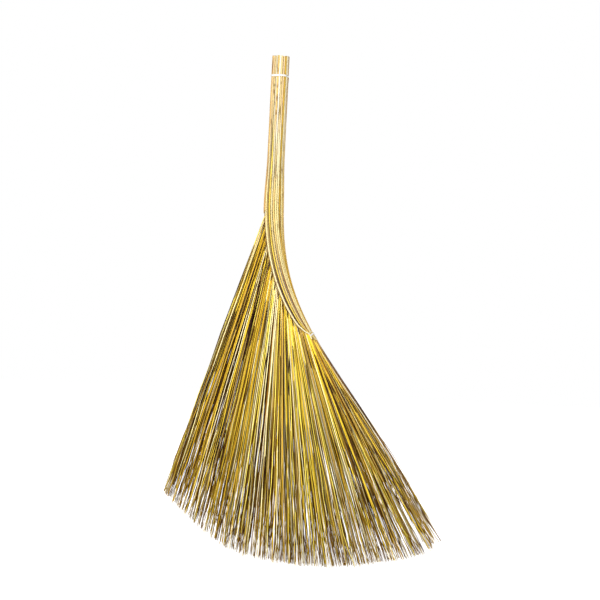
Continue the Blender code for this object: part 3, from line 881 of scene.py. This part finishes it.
def make_spine_core():
    bundle = Bundle()
    source = random.Random(CORE_SEED)
    spots = np.linspace(SPINE_START - STEM_LENGTH, SPINE_END - LAST_STEM_RISE, CORE_STEPS)
    width = BACKBONE_WIDTH / CORE_LOOSENESS
    for row in range(CORE_ROWS):
        for column in range(CORE_COLUMNS):
            depth = mix(-0.5, 0.5, (row + 0.5) / CORE_ROWS) * BACKBONE_DEPTH
            offset = BACKBONE_START_OFFSET + BACKBONE_WIDTH * (column + 0.5) / CORE_COLUMNS
            path = [place(s, offset, depth) for s in spots]
            tone = pick(FAN_PALETTE, source) * CORE_SHADE
            bundle.add(path, width, THIN_SIDES, tone, THIN_FLATNESS, FRONT, source, THIN_SIDE_SHADE)
    bundle.build("spine_core", FAN_RIB, ["spine_core"], CUT_END)


def upper_root_end():
    """How far down the edge the last side hank's root ends, clear of the lower tie."""
    needed = SPINE_END_WIDTH + rib_radius(SPINE_END) + BAND_THICKNESS + 2 * (GAP + SPARE_GAP)
    spots = EDGE_S[(EDGE_S > SPINE_START) & (EDGE_S < SPINE_END)]
    return spots[np.argmax(np.array([packed_border(s) for s in spots]) < needed)]


SIDE_HANKS = int((upper_root_end() - SPINE_START) / HANK_SPACING)


def fan_tips():
    """Angles on the arc of the hanks' borders, from the inner edge of the fan to the outer one."""
    down_left = np.array([-math.sin(FAN_LEFT_ANGLE), 0, -math.cos(FAN_LEFT_ANGLE)])
    from_centre = root_at(SPINE_START) - ARC_CENTRE
    half = from_centre @ down_left
    far = math.sqrt(half * half + ARC_RADIUS**2 - from_centre @ from_centre)
    first = arc_angle(root_at(SPINE_START) + down_left * (far - half))
    last = arc_angle(place(reach_of_edge(LAST_BORDER), LAST_BORDER))
    split = mix(last, first, LAST_HANK_ARC_SHARE)
    return [mix(first, split, (k / SIDE_HANKS) ** FAN_SPREAD_POWER) for k in range(SIDE_HANKS + 1)] + [last]


BORDER_ROOTS = np.linspace(SPINE_START, upper_root_end(), SIDE_HANKS + 1)
BORDER_TIPS = fan_tips()
LAST_ROOT_OUTER = place(SPINE_END + BELOW_TIE_REACH, LAST_BORDER / 2)
# Quarters of the last hank, how much deeper its strands get at the root, and rows of its stem
QUARTERS = 4
ROOT_FLARE = 1.5
LAST_STEM_ROWS = 4
LAST_STEM_SHARE = 0.9
SHIFT_POWER = 1.4
# Widths of the dark gaps between the hanks at their broadest, from the inner edge of the fan outwards
HANK_GAPS = (
    0, 0.001, 0.001, 0.0006, 0.0026, 0.0014, 0.0008,
    0.0018, 0.0008, 0.0012, 0.0018, 0.0008, 0.002, 0.001,
)
LAST_HANK_GAPS = (0.0014, 0.0014, 0.0028, 0.0016, 0)


def stem_rows(k):
    """Borders of a side hank from the top of its stem to its root, as pairs of points."""
    roots = [root_at(s) for s in BORDER_ROOTS[k:k + 2]]
    ups = [unit(root - arc_place(tip)) for root, tip in zip(roots, BORDER_TIPS[k:k + 2])]
    rise = min(STEM_LENGTH, 0.5 * edge_rib_offset(BORDER_ROOTS[k]))
    return [(roots[0] + ups[0] * rise, roots[1] + ups[1] * rise), tuple(roots)]


def last_stem_rows():
    """Borders of the last hank, inside the spine and out along the line where its strands spread."""
    start, last_root = SPINE_END - LAST_STEM_RISE, BORDER_ROOTS[-1]
    rows = []
    for share in np.linspace(0, LAST_STEM_SHARE, LAST_STEM_ROWS):
        inner = place(mix(start, last_root, share), BACKBONE_INNER)
        outer = place(mix(start, ROOT_OF_LAST, share), BACKBONE_START_OFFSET)
        rows.append((mix(inner, root_at(last_root), share**2), outer))
    return rows + [(root_at(last_root), LAST_ROOT_OUTER)]


# Dark lines of painted shadow in the gaps between the strands: place among the hanks' borders and share of
# the way down at both ends, width
FAN_SHADOW_LINES = (
    ((0.96, 0.03), (1.64, 0.21), 0.0013),
    ((2.01, 0.03), (2.41, 0.35), 0.0014),
    ((2.88, 0.03), (2.92, 0.16), 0.001),
    ((3.55, 0.03), (4.38, 0.37), 0.0028),
    ((4.25, 0.03), (4.45, 0.11), 0.0013),
    ((4.37, 0.25), (4.44, 0.38), 0.0024),
    ((4.9, 0.25), (4.78, 0.33), 0.002),
    ((7.24, 0.24), (6.93, 0.36), 0.002),
    ((9.93, 0.19), (9.61, 0.35), 0.0018),
    ((12, 0.16), (11.91, 0.29), 0.0018),
    ((8.92, 0.03), (9.31, 0.06), 0.0015),
    ((0.02, 0.31), (0.22, 0.65), 0.0013),
    ((4.31, 0.62), (4.9, 0.82), 0.0014),
    ((6.91, 0.53), (7.14, 0.83), 0.0014),
    ((9.42, 0.46), (9.3, 0.64), 0.0015),
    ((9.75, 0.67), (9.76, 0.8), 0.0014),
    ((13.34, 0.17), (13.36, 0.26), 0.0018),
    ((0.1, 0.75), (0.57, 0.8), 0.0011),
    ((5.01, 0.7), (4.92, 0.81), 0.0013),
)
# Painted shadow in the notches between the hanks' roots: reach and width
NOTCH_SHADOW_LINE = (0.045, 0.0016)
# Loose dark ribs of painted shadow in thin gaps between the strands, in a side hank and the last one: starts,
# how far they lean and run, shades and widths
LOOSE_LINES = 5
LAST_LOOSE_LINES = 36
LINE_SLOTS = (0.05, 0.95)
LINE_STARTS = (0.02, 0.75)
LINE_LEAN = 0.06
LINE_RUNS = (0.07, 0.24)
LINE_SHADES = (0.5, 1.1)
LINE_WIDTHS = (0.0009, 0.0014)
LINE_STEPS = 12
LINE_SIDES = 6
LINE_LIFT = 0.0009
LINE_SINK = 0.0016
LINE_END_WIDTH = 0.4
LINE_ROUNDING = (0.01, 0.99)
LINE_FLATNESS = 0.7
# Painted side shade of the lines
LINE_SIDE_SHADE = 0.3


def fan_spot(k, share):
    """A place on the fan, from its place among the hanks' borders and its share of the way down."""
    root = root_at(np.interp(k, range(len(BORDER_ROOTS)), BORDER_ROOTS))
    if k > SIDE_HANKS:
        root = mix(root, LAST_ROOT_OUTER, k - SIDE_HANKS)
    return mix(root, arc_place(np.interp(k, range(len(BORDER_TIPS)), BORDER_TIPS)), share)


def add_shadow_line(bundle, line, width, tone):
    """A dark rib, painted shadow of a gap, that lies low between the strands on both faces of the fan."""
    start, end = [fan_spot(k, share) for k, share in line]
    shares = np.linspace(0, 1, LINE_STEPS)
    root_depth = BACKBONE_DEPTH * ROOT_FLARE if line[1][0] > SIDE_HANKS else HANK_DEPTH
    out = mix(root_depth, FAN_TIP_DEPTH, mix(line[0][1], line[1][1], shares)) / 2
    sunk = out + LINE_LIFT - LINE_SINK * abs(2 * shares - 1) ** 3
    widths = width * mix(LINE_END_WIDTH, 1, np.sqrt(np.sin(np.pi * np.clip(shares, *LINE_ROUNDING))))
    for side in (-1, 1):
        path = mix(start, end, shares[:, None])
        path[:, 1] = side * sunk
        bundle.add(path, widths, LINE_SIDES, tone, LINE_FLATNESS, (0, side, 0), dusk=LINE_SIDE_SHADE)


# Painted shadow lines of a hank: those of the table, the notch above it and loose ones
def add_shadow_lines(bundle, hank, loose, source):
    for first, last, width in FAN_SHADOW_LINES:
        if int((first[0] + last[0]) / 2) == hank:
            add_shadow_line(bundle, (first, last), width, linear(PAINTED_GAP_SHADOW))
    if 0 < hank < SIDE_HANKS:
        reach, width = NOTCH_SHADOW_LINE
        add_shadow_line(bundle, ((hank, 0), (hank, reach)), width, linear(PAINTED_GAP_SHADOW))
    for _ in range(loose):
        k, share = hank + source.uniform(*LINE_SLOTS), source.uniform(*LINE_STARTS)
        line = ((k, share), (k + source.uniform(-LINE_LEAN, LINE_LEAN), share + source.uniform(*LINE_RUNS)))
        tone = linear(DARK_BROWN) * source.uniform(*LINE_SHADES)
        add_shadow_line(bundle, line, source.uniform(*LINE_WIDTHS), tone)


# Wisps along the outer edge
WISPS = 14
WISP_STARTS = (0.66, 0.75)
WISP_ENDS = (0.82, 0.93)
WISP_ROOT = 0.003
WISP_REACHES = (0.0005, 0.004)
WISP_DEPTH = 0.006
WISP_WIDTHS = (0.0011, 0.0006)
WISP_STEPS = 24
WISP_SHADE = 0.8
# Painted side shade of the wisps
WISP_SIDE_SHADE = 0.5


def add_wisp(bundle, source):
    """A loose rib that leaves the outer edge low on the fan."""
    begin, end = source.uniform(*WISP_STARTS), source.uniform(*WISP_ENDS)
    spots = np.linspace(begin, end, WISP_STEPS)
    out = source.uniform(*WISP_REACHES)
    deep = source.uniform(-WISP_DEPTH, WISP_DEPTH)
    path = [place(s, mix(WISP_ROOT, -out, ease(s, begin, end - begin)) - edge_sway(s), deep) for s in spots]
    widths = np.linspace(*WISP_WIDTHS, WISP_STEPS)
    tone = pick(FAN_PALETTE, source) * WISP_SHADE
    bundle.add(path, widths, INNER_STYLE["sides"], tone, source=source, dusk=WISP_SIDE_SHADE)


# A strand's colours, by shares of its length
STRAND_WANDER = 0.07
WANDER_TURNS = (8, 60)
BROWN_STARTS = (0.4, 0.9)
BROWN_LENGTH = 0.5
BROWNINGS = (0.1, 0.7)
# Painted shade inside a hank fades out over this part of a strand
PAINTED_SHADE_FADE = (0.25, 0.5)


def strand_colours(tone, shares, dark, source):
    """Own tone of a strand, with painted shade inside the hank fading from the root, and browned towards the
    tip.
    """
    wander = sum(np.sin(shares * source.uniform(*WANDER_TURNS) + source.uniform(*PHASES)) for _ in range(2))
    own = tone * (1 + STRAND_WANDER * wander)[:, None]
    brown = ease(shares, source.uniform(*BROWN_STARTS), BROWN_LENGTH)[:, None] * source.uniform(*BROWNINGS)
    own = mix(own, linear(TIP_BROWN), brown)
    return mix(own, linear(PAINTED_GAP_SHADOW), (1 - ease(shares, *PAINTED_SHADE_FADE))[:, None] * dark)


# Where tips pass the arc: angle on it, spread and reach
TIP_REACHES = ((-0.42, 0.2, 0.011), (0.45, 0.13, 0.009), (0.56, 0.035, -0.014))


def tip_reach(angle):
    return sum(reach * math.exp(-(((angle - middle) / spread) ** 2)) for middle, spread, reach in TIP_REACHES)


# How far a gap pushes strands off, or an edge without a gap pulls them out, with a bulge and a fade
EDGE_PUSH = -0.0018
PUSH_BULGE = 0.25
PUSH_FADE = (0.3, 0.65)
# Strands, with sides, steps and painted side shade of the outer, the inner and a gap's dark ones, which are
# painted shadow in the gap
STRAND_WIDTH = 0.0018
OUTER_STYLE = {"sides": 6, "steps": 16, "dusk": 0.9}
INNER_STYLE = {"sides": 5, "steps": 12, "dusk": 0.35}
GAP_SHADOW_STYLE = {"sides": 5, "steps": 12, "dusk": 0.0, "dark": 1.0, "loose": False}
STRAND_TAPER = 0.4
TIP_TAPER = 0.2
TIP_TAPER_BAND = (0.94, 0.06)
STRAND_FLATNESSES = (0.65, 0.95)
STRAND_TWIST = 0.35
STRAND_GRAIN_SHIFT = 60
# Layers of outer strands, from the outside in, and columns and layers of inner ones
OUTER_PITCH = 0.0014
INNER_PITCH = 0.0019
INNER_CLOSENESS = 0.6
COLUMN_WIDTH = 0.007
SIDE_COLUMNS = (3, 6)
SIDE_INNER_COLUMNS = 5
SIDE_LEAST_LAYERS = 5
QUARTER_STRANDS = (5, 4, 9)
# Brightness of the outer strands by layer, from the outside in, and in the first hank: the outer layer
# painted lighter and the deeper ones darker, as light on the surface and shade between the strands
LAYER_DEPTH_SHADING = (1.55, 1.1, 0.62)
FIRST_DEPTH_SHADING = (1.4, 1.2, 0.9)
LAYER_WIDTHS = (1, 0.95, 0.95)
OUTER_WIDTHS = (0.85, 1.15)
INNER_WIDTHS = (0.8, 1.05)
OUTER_SPREAD = 0.35
INNER_SPREAD = 0.9
SLOTS = (0.04, 0.96)
BARE_SLOTS = (0.3, 0.7)
# Painted shade at the root of inner strands: slight where an edge without a gap leaves them bare, strong deep
# inside
BARE_PAINTED_SHADE = 0.1
INNER_PAINTED_SHADE = 0.8
GAP_SLOTS = (0.03, 0.97)
GAP_STRANDS = 2
GAP_WIDTH = 1.15
# Tips: the clumps that they lean to, and by which chance they end how far short of the arc
CLUMP_WIDTH = 0.0075
CLUMP_WANDER = 0.2
CLUMP_SPREAD = 0.04
CLUMPING = 0.3
FIRST_CLUMPS = (0.03, 0.4, 0.8)
SPOTS = (0.01, 0.995)
TRIMS = ((0, 0, 0.006), (0.66, 0.006, 0.045), (0.9, 0.045, 0.12))
GAP_TRIM = 0.1
# A dry rib's shape: waves with their size and length, bow, hook at the tip and kinks
STEP_POWER = 1.05
GROW_POWER = 1.3
STRAND_WAVES = ((0.0015, 0.05), (0.001, 0.021))
DEPTH_WAVE = (0.001, 0.06)
BOW = 0.0018
HOOK_BAND = (0.88, 0.12)
HOOK_POWER = 1.5
KINK = 0.0003


class Hank:
    """One hank's borders, its part of the arc and its depth, from which its strands take their places."""

    depth_shading = LAYER_DEPTH_SHADING

    def __init__(self, bundle, rows, angles, root_depth, gaps, source, shift=0.0, flare=1.0):
        self.bundle, self.rows, self.source, self.shift, self.flare = bundle, rows, source, shift, flare
        self.first, self.last = angles
        self.root_depth, self.gaps = root_depth, gaps
        self.width = abs(self.last - self.first) * ARC_RADIUS
        count = max(2, round(self.width / CLUMP_WIDTH))
        self.clumps = [(k + 0.5 + source.uniform(-CLUMP_WANDER, CLUMP_WANDER)) / count for k in range(count)]

    def trim(self):
        """How far a tip ends short of the arc: a little for most strands, more for some."""
        chance = self.source.random()
        for least, shortest, longest in TRIMS:
            if chance >= least:
                trim = self.source.uniform(shortest, longest)
        return trim

    def strand_path(self, across, deep, tip, push, steps):
        """A strand from its stem to its tip, pushed off a gap, with the waves and kinks of a dry rib."""
        source = self.source
        knots = [mix(left, right, across) + np.array([0, deep, 0]) for left, right in self.rows]
        knots[-1][1] = deep * self.flare
        start = knots[-1]
        end = tip + np.array([0, deep / self.root_depth * FAN_TIP_DEPTH, 0])
        shares = np.linspace(0, 1, steps) ** STEP_POWER
        free = start + (end - start) * shares[:, None]
        run = shares * np.linalg.norm(free[-1] - start)
        side = unit(np.cross(free[-1] - start, (0, 1, 0)))
        grow = shares**GROW_POWER
        bulge = np.sin(np.pi * shares)
        phases = [source.uniform(*PHASES) for _ in STRAND_WAVES]
        wave = sum(size * np.sin(phase + run / long) for phase, (size, long) in zip(phases, STRAND_WAVES))
        bow = source.gauss(0, BOW) * bulge
        hook = source.gauss(0, BOW) * ease(shares, *HOOK_BAND) ** HOOK_POWER
        kinks = np.array([source.gauss(0, KINK) for _ in shares]) * grow
        pushed = push * (1 - PUSH_BULGE + PUSH_BULGE * bulge) * (1 - ease(shares, *PUSH_FADE))
        free = free + side * ((wave + kinks) * grow + bow + hook - pushed)[:, None]
        if self.shift:
            out = edge_sway(ROOT_OF_LAST + shares * (EDGE_TIP - ROOT_OF_LAST)) * self.shift * across
            free = free - inward(EDGE_TIP) * out[:, None]
        size, long = DEPTH_WAVE
        free[:, 1] += size * np.sin(phases[-1] + run / long) * grow
        return np.concatenate([np.array(knots[:-1]), free])

    def strand(self, across, spot, deep, width, tone, sides, steps, dusk, dark=0.0, loose=True):
        """Adds a strand from its place across the stem to its spot among the tips. A gap's isn't loose."""
        source = self.source
        if loose:
            nearest = min(self.clumps, key=lambda clump: abs(clump - spot))
            spot = mix(spot, nearest + source.uniform(-CLUMP_SPREAD, CLUMP_SPREAD), CLUMPING)
        angle = mix(self.first, self.last, np.clip(spot, *SPOTS))
        trim = self.trim() + (0 if loose else GAP_TRIM)
        start, end = mix(*self.rows[-1], across), arc_place(angle)
        tip = end - unit(end - start) * (trim - tip_reach(angle))
        left, right = [(gap + STRAND_WIDTH) / 2 if gap else EDGE_PUSH for gap in self.gaps]
        push = (left * max(0, 1 - 2 * across) - right * max(0, 2 * across - 1)) * loose
        path = self.strand_path(across, deep, tip, push, steps)
        shares = np.linspace(0, 1, len(path))
        widths = width * (1 - STRAND_TAPER * shares - TIP_TAPER * ease(shares, *TIP_TAPER_BAND))
        facing = (source.uniform(-STRAND_TWIST, STRAND_TWIST), -1 if deep < 0 else 1, 0)
        colours = strand_colours(tone, shares, dark, source)
        flatness = source.uniform(*STRAND_FLATNESSES)
        self.bundle.add(path, widths, sides, colours, flatness, facing, source, dusk)

    def fill(self, columns, inner_columns, inner_layers):
        source = self.source
        surface = self.root_depth / 2 - STRAND_WIDTH / 2
        for side in (-1, 1):
            # Painted depth shade: each layer of outer strands lighter or darker by its depth
            for layer, shade in enumerate(self.depth_shading):
                for column in range(columns + layer % 2):
                    slot = np.clip((column + 0.5 - 0.5 * (layer % 2)) / columns, *SLOTS)
                    deep = side * (surface - (layer + 0.5 * (column % 2)) * OUTER_PITCH)
                    spot = slot + source.uniform(-OUTER_SPREAD, OUTER_SPREAD) / columns
                    tone = pick(FAN_PALETTE, source) * shade
                    width = STRAND_WIDTH * LAYER_WIDTHS[layer] * source.uniform(*OUTER_WIDTHS)
                    self.strand(slot, spot, deep, width, tone, **OUTER_STYLE)
        room = surface - len(self.depth_shading) * OUTER_PITCH
        low, high = BARE_SLOTS
        for layer in range(inner_layers):
            deep = mix(-room, room, (layer + 0.5) / inner_layers)
            for column in range(inner_columns):
                slot = (column + 0.5) / inner_columns
                spot = slot + source.uniform(-INNER_SPREAD, INNER_SPREAD) / inner_columns
                width = STRAND_WIDTH * source.uniform(*INNER_WIDTHS)
                bare = slot < low and not self.gaps[0] or slot > high and not self.gaps[1]
                tone = pick(FAN_PALETTE if bare else INNER_PALETTE, source)
                dark = BARE_PAINTED_SHADE if bare else INNER_PAINTED_SHADE
                self.strand(slot, spot, deep, width, tone, dark=dark, **INNER_STYLE)
        # Dark strands under each gap: painted shadow in the gap
        for slot, gap in zip(GAP_SLOTS, self.gaps):
            for layer in range(GAP_STRANDS if gap else 0):
                for side in (-1, 1):
                    deep = side * (room - layer * OUTER_PITCH)
                    self.strand(slot, slot, deep, STRAND_WIDTH * GAP_WIDTH, linear(PAINTED_GAP_SHADOW), **GAP_SHADOW_STYLE)


def make_side_hanks():
    for k in range(SIDE_HANKS):
        source = random.Random(HANK_SEED + k)
        bundle = Bundle(STRAND_GRAIN_SHIFT)
        hank = Hank(bundle, stem_rows(k), BORDER_TIPS[k:k + 2], HANK_DEPTH, HANK_GAPS[k:k + 2], source)
        if k == 0:
            hank.clumps, hank.depth_shading = FIRST_CLUMPS, FIRST_DEPTH_SHADING
        columns = int(np.clip(round(hank.width / COLUMN_WIDTH), *SIDE_COLUMNS))
        inner_layers = max(SIDE_LEAST_LAYERS, round(hank.width / INNER_PITCH * INNER_CLOSENESS))
        hank.fill(columns, SIDE_INNER_COLUMNS, inner_layers)
        add_shadow_lines(bundle, k, LOOSE_LINES, source)
        name = f"hank_{k + 1:02d}"
        bundle.build(name, FAN_RIB, [name])


def make_last_hank():
    """The last hank, in quarters that part below the lower tie, with loose wisps along the outer edge."""
    source = random.Random(LAST_HANK_SEED)
    bundle = Bundle(STRAND_GRAIN_SHIFT)
    for quarter in range(QUARTERS):
        low, high = quarter / QUARTERS, (quarter + 1) / QUARTERS
        rows = [(mix(left, right, low), mix(left, right, high)) for left, right in last_stem_rows()]
        angles = [mix(*BORDER_TIPS[-2:], share) for share in (low, high)]
        gaps = LAST_HANK_GAPS[quarter:quarter + 2]
        hank = Hank(bundle, rows, angles, BACKBONE_DEPTH, gaps, source, high**SHIFT_POWER, ROOT_FLARE)
        hank.fill(*QUARTER_STRANDS)
    add_shadow_lines(bundle, SIDE_HANKS, LAST_LOOSE_LINES, source)
    for _ in range(WISPS):
        add_wisp(bundle, source)
    name = f"hank_{SIDE_HANKS + 1:02d}"
    bundle.build(name, FAN_RIB, [name])


# Ties
TIE_SIDES = 8
TIE_FLATNESS = 0.14
# The two turns of the top tie: how far each lies over the first, its tilt and its drop
TOP_TURNS = ((0.0, 0.0, 0.0), (0.00025, 0.0008, 0.0002))
TOP_STEPS = 73
TOP_HEIGHT_SHARE = 0.8
TOP_RIPPLE = 0.00012
TOP_DIP = 0.0016
TOP_DIP_BAND = (0.55, 0.45)
TILT_TURN = 0.6


def make_top_tie():
    """Plastic film drawn round the handle, with a second turn laid a little askew over the first."""
    bundle = Bundle()
    width = BAND_HEIGHT * TOP_HEIGHT_SHARE
    for turn_over, tilt, drop in TOP_TURNS:
        path, outs = [], []
        for angle in np.linspace(0, 2 * math.pi, TOP_STEPS):
            reach = HANDLE_DIAMETER / 2 + GAP + turn_over + TOP_RIPPLE * math.cos(angle * RIB_COUNT)
            dip = TOP_DIP * ease(math.cos(angle), *TOP_DIP_BAND)
            high = GRIP_DROP - TOP_TIE_DROP - drop + tilt * math.sin(angle + TILT_TURN) - dip
            path.append((reach * math.cos(angle), reach * math.sin(angle), high))
            outs.append((math.cos(angle), math.sin(angle), 0))
        bundle.add(path, width, TIE_SIDES, linear(TIE_WHITE), TIE_FLATNESS, outs)
    bundle.build("top_tie", TIE_FILM, ["top_tie"])


# The lower tie's path round the spine, and the flatness of its cord and strip
WRAP_STEPS = 40
STRAIGHT_STEPS = 16
CORD_SHARE = 0.8
STRIP_FLATNESS = 0.3


def round_bundle(s, spread):
    """A path round the narrow end of the spine: over the ribs, then straight along the inner side."""
    half = bundle_diameter(s) / 2
    ring = half + spread
    inner = edge_rib_offset(SPINE_END) - rib_radius(s) / 2 + spread
    turn = math.acos((half - inner) / ring)
    arc = [(half - ring * math.cos(a), -ring * math.sin(a)) for a in np.linspace(-turn, turn, WRAP_STEPS)]
    across = np.linspace(0, 1, STRAIGHT_STEPS)[1:]
    return arc + [(inner, mix(arc[-1][1], arc[0][1], share)) for share in across]


def make_wrap(name, s, height, flatness, tone, finish, replaced):
    path = [place(s + TIE_SLANT * offset, offset, depth) for offset, depth in round_bundle(s, GAP)]
    centre = place(s, bundle_diameter(s) / 4)
    outs = [unit(point - centre) for point in path]
    bundle = Bundle()
    bundle.add(path, height, TIE_SIDES, linear(tone), flatness, outs)
    bundle.build(name, finish, replaced)


def make_lower_tie():
    """A grey-white cord and a yellow strip above the broad white band."""
    cord = SPINE_END + LOWER_CORD_DROP - LOWER_TIE_RISE
    band = SPINE_END + LOWER_BAND_DROP - LOWER_TIE_RISE
    strip = mix(cord, band, STRIP_SHARE)
    width = TIE_CORD_DIAMETER * CORD_SHARE
    make_wrap("lower_tie_cord", cord, width, CORD_SHARE, TIE_GREY, TIE_FILM, ["lower_tie_cord"])
    make_wrap("lower_tie_band", band, BAND_HEIGHT, TIE_FLATNESS, TIE_WHITE, TIE_FILM, ["lower_tie_band"])
    make_wrap("lower_tie_strip", strip, STRIP_HEIGHT, STRIP_FLATNESS, TIE_YELLOW, TIE_STRIP, [])


# Knots: turns, shape and lift in radii of the cord, and their tails
KNOT_STEPS = 40
KNOT_TURN = 2.4 * math.pi
KNOT_ASIDE = 2.2
KNOT_WAVE = 0.8
KNOT_LIFTS = (0.6, 1.4)
KNOT_FLATNESS = 0.6
TAIL_STEPS = 14
TAIL_SETTLES = 5
TAIL_WAVE = 0.0002
TAIL_WIDTHS = (0.9, 0.5)
TOP_KNOT_DROP = 0.0016
TOP_TAIL = 0.009
LOWER_TAIL = 0.02


def make_knot(name, s, tail_length):
    """A small flat knot behind the outer edge, with its tail lying down the edge."""
    half = bundle_diameter(s) / 2
    low, high = [TIE_CORD_DIAMETER / 2 * share for share in KNOT_LIFTS]
    path = []
    for share in np.linspace(0, 1, KNOT_STEPS):
        angle = KNOT_TURN * share
        aside = KNOT_REACH * (KNOT_ASIDE + KNOT_WAVE * math.sin(angle))
        on_ring = half - math.sqrt(half**2 - aside**2)
        path.append(place(s + KNOT_REACH * math.cos(angle), on_ring - mix(low, high, share), aside))
    start = s + KNOT_REACH * math.cos(KNOT_TURN)
    tail = []
    for k in range(1, TAIL_STEPS + 1):
        settled = min(k / TAIL_SETTLES, 1)
        aside = path[-1][1] * (1 - settled) + TAIL_WAVE * math.sin(k)
        tail.append(place(start + tail_length * k / TAIL_STEPS, -mix(high, low, settled), aside))
    widths = [1] * KNOT_STEPS + [mix(*TAIL_WIDTHS, k / TAIL_STEPS) for k in range(TAIL_STEPS)]
    bundle = Bundle()
    widths = TIE_CORD_DIAMETER * np.array(widths)
    bundle.add(path + tail, widths, TIE_SIDES, linear(TIE_WHITE), KNOT_FLATNESS, (1, 0, 0))
    bundle.build(name, TIE_FILM, [name])


# Stitches: where they stop short, how they dip and how they swing across
STITCH_MARGIN = 0.0055
STITCH_STEPS = 240
STITCH_LIFT = 0.0009
STITCH_DIP = 0.0011
STITCH_MIDDLE = 0.75
STITCH_SWING = 0.2


def make_stitching():
    """A cord on each side that dips under each hank and shows at the notches between their roots."""
    end = upper_root_end()
    for name, side in (("front_stitching", -1), ("back_stitching", 1)):
        path = []
        for s in np.linspace(SPINE_START + STITCH_MARGIN, end - STITCH_MARGIN, STITCH_STEPS):
            turn = 2 * math.pi * (s - SPINE_START) / (end - SPINE_START) * SIDE_HANKS
            deep = side * (HANK_DEPTH / 2 + STITCH_LIFT + STITCH_DIP * math.cos(turn))
            inner = STITCH_SET_IN * (STITCH_MIDDLE + STITCH_SWING * math.sin(turn))
            path.append(place(s, edge_rib_offset(s) + inner, deep))
        bundle = Bundle()
        bundle.add(path, STITCH_DIAMETER, TIE_SIDES, linear(STITCH_BROWN), 1.0, (0, side, 0))
        bundle.build(name, STITCH, [name])


def make_camera():
    data = bpy.data.cameras.new("camera")
    data.lens = LENS
    data.sensor_width = SENSOR
    made = new_object("camera", data)
    right = (math.cos(CAMERA_ROLL), 0, math.sin(CAMERA_ROLL))
    up = (-math.sin(CAMERA_ROLL), 0, math.cos(CAMERA_ROLL))
    away = PHOTO_WIDTH * LENS / SENSOR
    columns = (right, up, (0, -1, 0), (CAMERA_X, -away, CAMERA_Z))
    made.matrix_world = Matrix([[column[row] for column in columns] for row in range(3)] + [[0, 0, 0, 1]])
    bpy.context.scene.camera = made


def seen_directly(tree):
    """One for rays from the camera and for mirrored or refracted ones, and zero for the rest."""
    paths = tree.nodes.new("ShaderNodeLightPath")
    seen = paths.outputs["Is Camera Ray"]
    for kind in ("Is Glossy Ray", "Is Transmission Ray"):
        either = add_node(tree, "ShaderNodeMath", operation="MAXIMUM")
        tree.links.new(seen, either.inputs[0])
        tree.links.new(paths.outputs[kind], either.inputs[1])
        seen = either.outputs[0]
    return seen


# World and floor
WHITE = (1, 1, 1, 1)
WORLD_FILL = 0.32
FLOOR_SIZE = 8
FLOOR_BACK = 1.5
FLOOR_DROP = 0.002
FLOOR_GREY = (0.9, 0.9, 0.9, 1)
FLOOR_GLOW = 0.8


def make_world():
    world = bpy.data.worlds.new("studio")
    bpy.context.scene.world = world
    world.use_nodes = True
    tree = world.node_tree
    back = tree.nodes["Background"]
    back.inputs["Color"].default_value = WHITE
    tree.links.new(ranged(tree, seen_directly(tree), WORLD_FILL, 1.0), back.inputs["Strength"])


def make_floor():
    bpy.ops.mesh.primitive_plane_add(size=FLOOR_SIZE, location=(0, FLOOR_BACK, cad_box[0][2] - FLOOR_DROP))
    floor = bpy.context.object
    floor.name = "studio_floor"
    made, tree, shader = new_material("floor_white")
    shader.inputs["Base Color"].default_value = FLOOR_GREY
    shader.inputs["Roughness"].default_value = 1.0
    shader.inputs["Emission Color"].default_value = WHITE
    tree.links.new(ranged(tree, seen_directly(tree), 0.0, FLOOR_GLOW), shader.inputs["Emission Strength"])
    floor.data.materials.append(made)


# Lights: name, place, size and power
LIGHTS = (
    ("key", (-1.1, -1.9, 0.7), 0.7, 42),
    ("fill", (1.4, -1.7, 0.1), 1.2, 14),
    ("back", (0.6, 1.9, 0.7), 1.4, 20),
)
LIGHT_AIM = (0.05, 0, -0.35)


def make_light(name, at, size, power):
    data = bpy.data.lights.new(name, "AREA")
    data.shape = "DISK"
    data.size = size
    data.energy = power
    made = new_object(name, data)
    made.location = at
    made.rotation_euler = (Vector(LIGHT_AIM) - Vector(at)).to_track_quat("-Z", "Y").to_euler()


make_camera()
make_world()
make_floor()
for light in LIGHTS:
    make_light(*light)
make_handle_ribs()
make_inner_ribs()
make_spine_core()
make_side_hanks()
make_last_hank()
make_top_tie()
make_lower_tie()
make_knot("top_tie_knot", TOP_TIE_DROP + TOP_KNOT_DROP, TOP_TAIL)
make_knot("lower_tie_knot", SPINE_END + LOWER_BAND_DROP - LOWER_TIE_RISE, LOWER_TAIL)
make_stitching()

bpy.context.scene.view_settings.view_transform = "Standard"
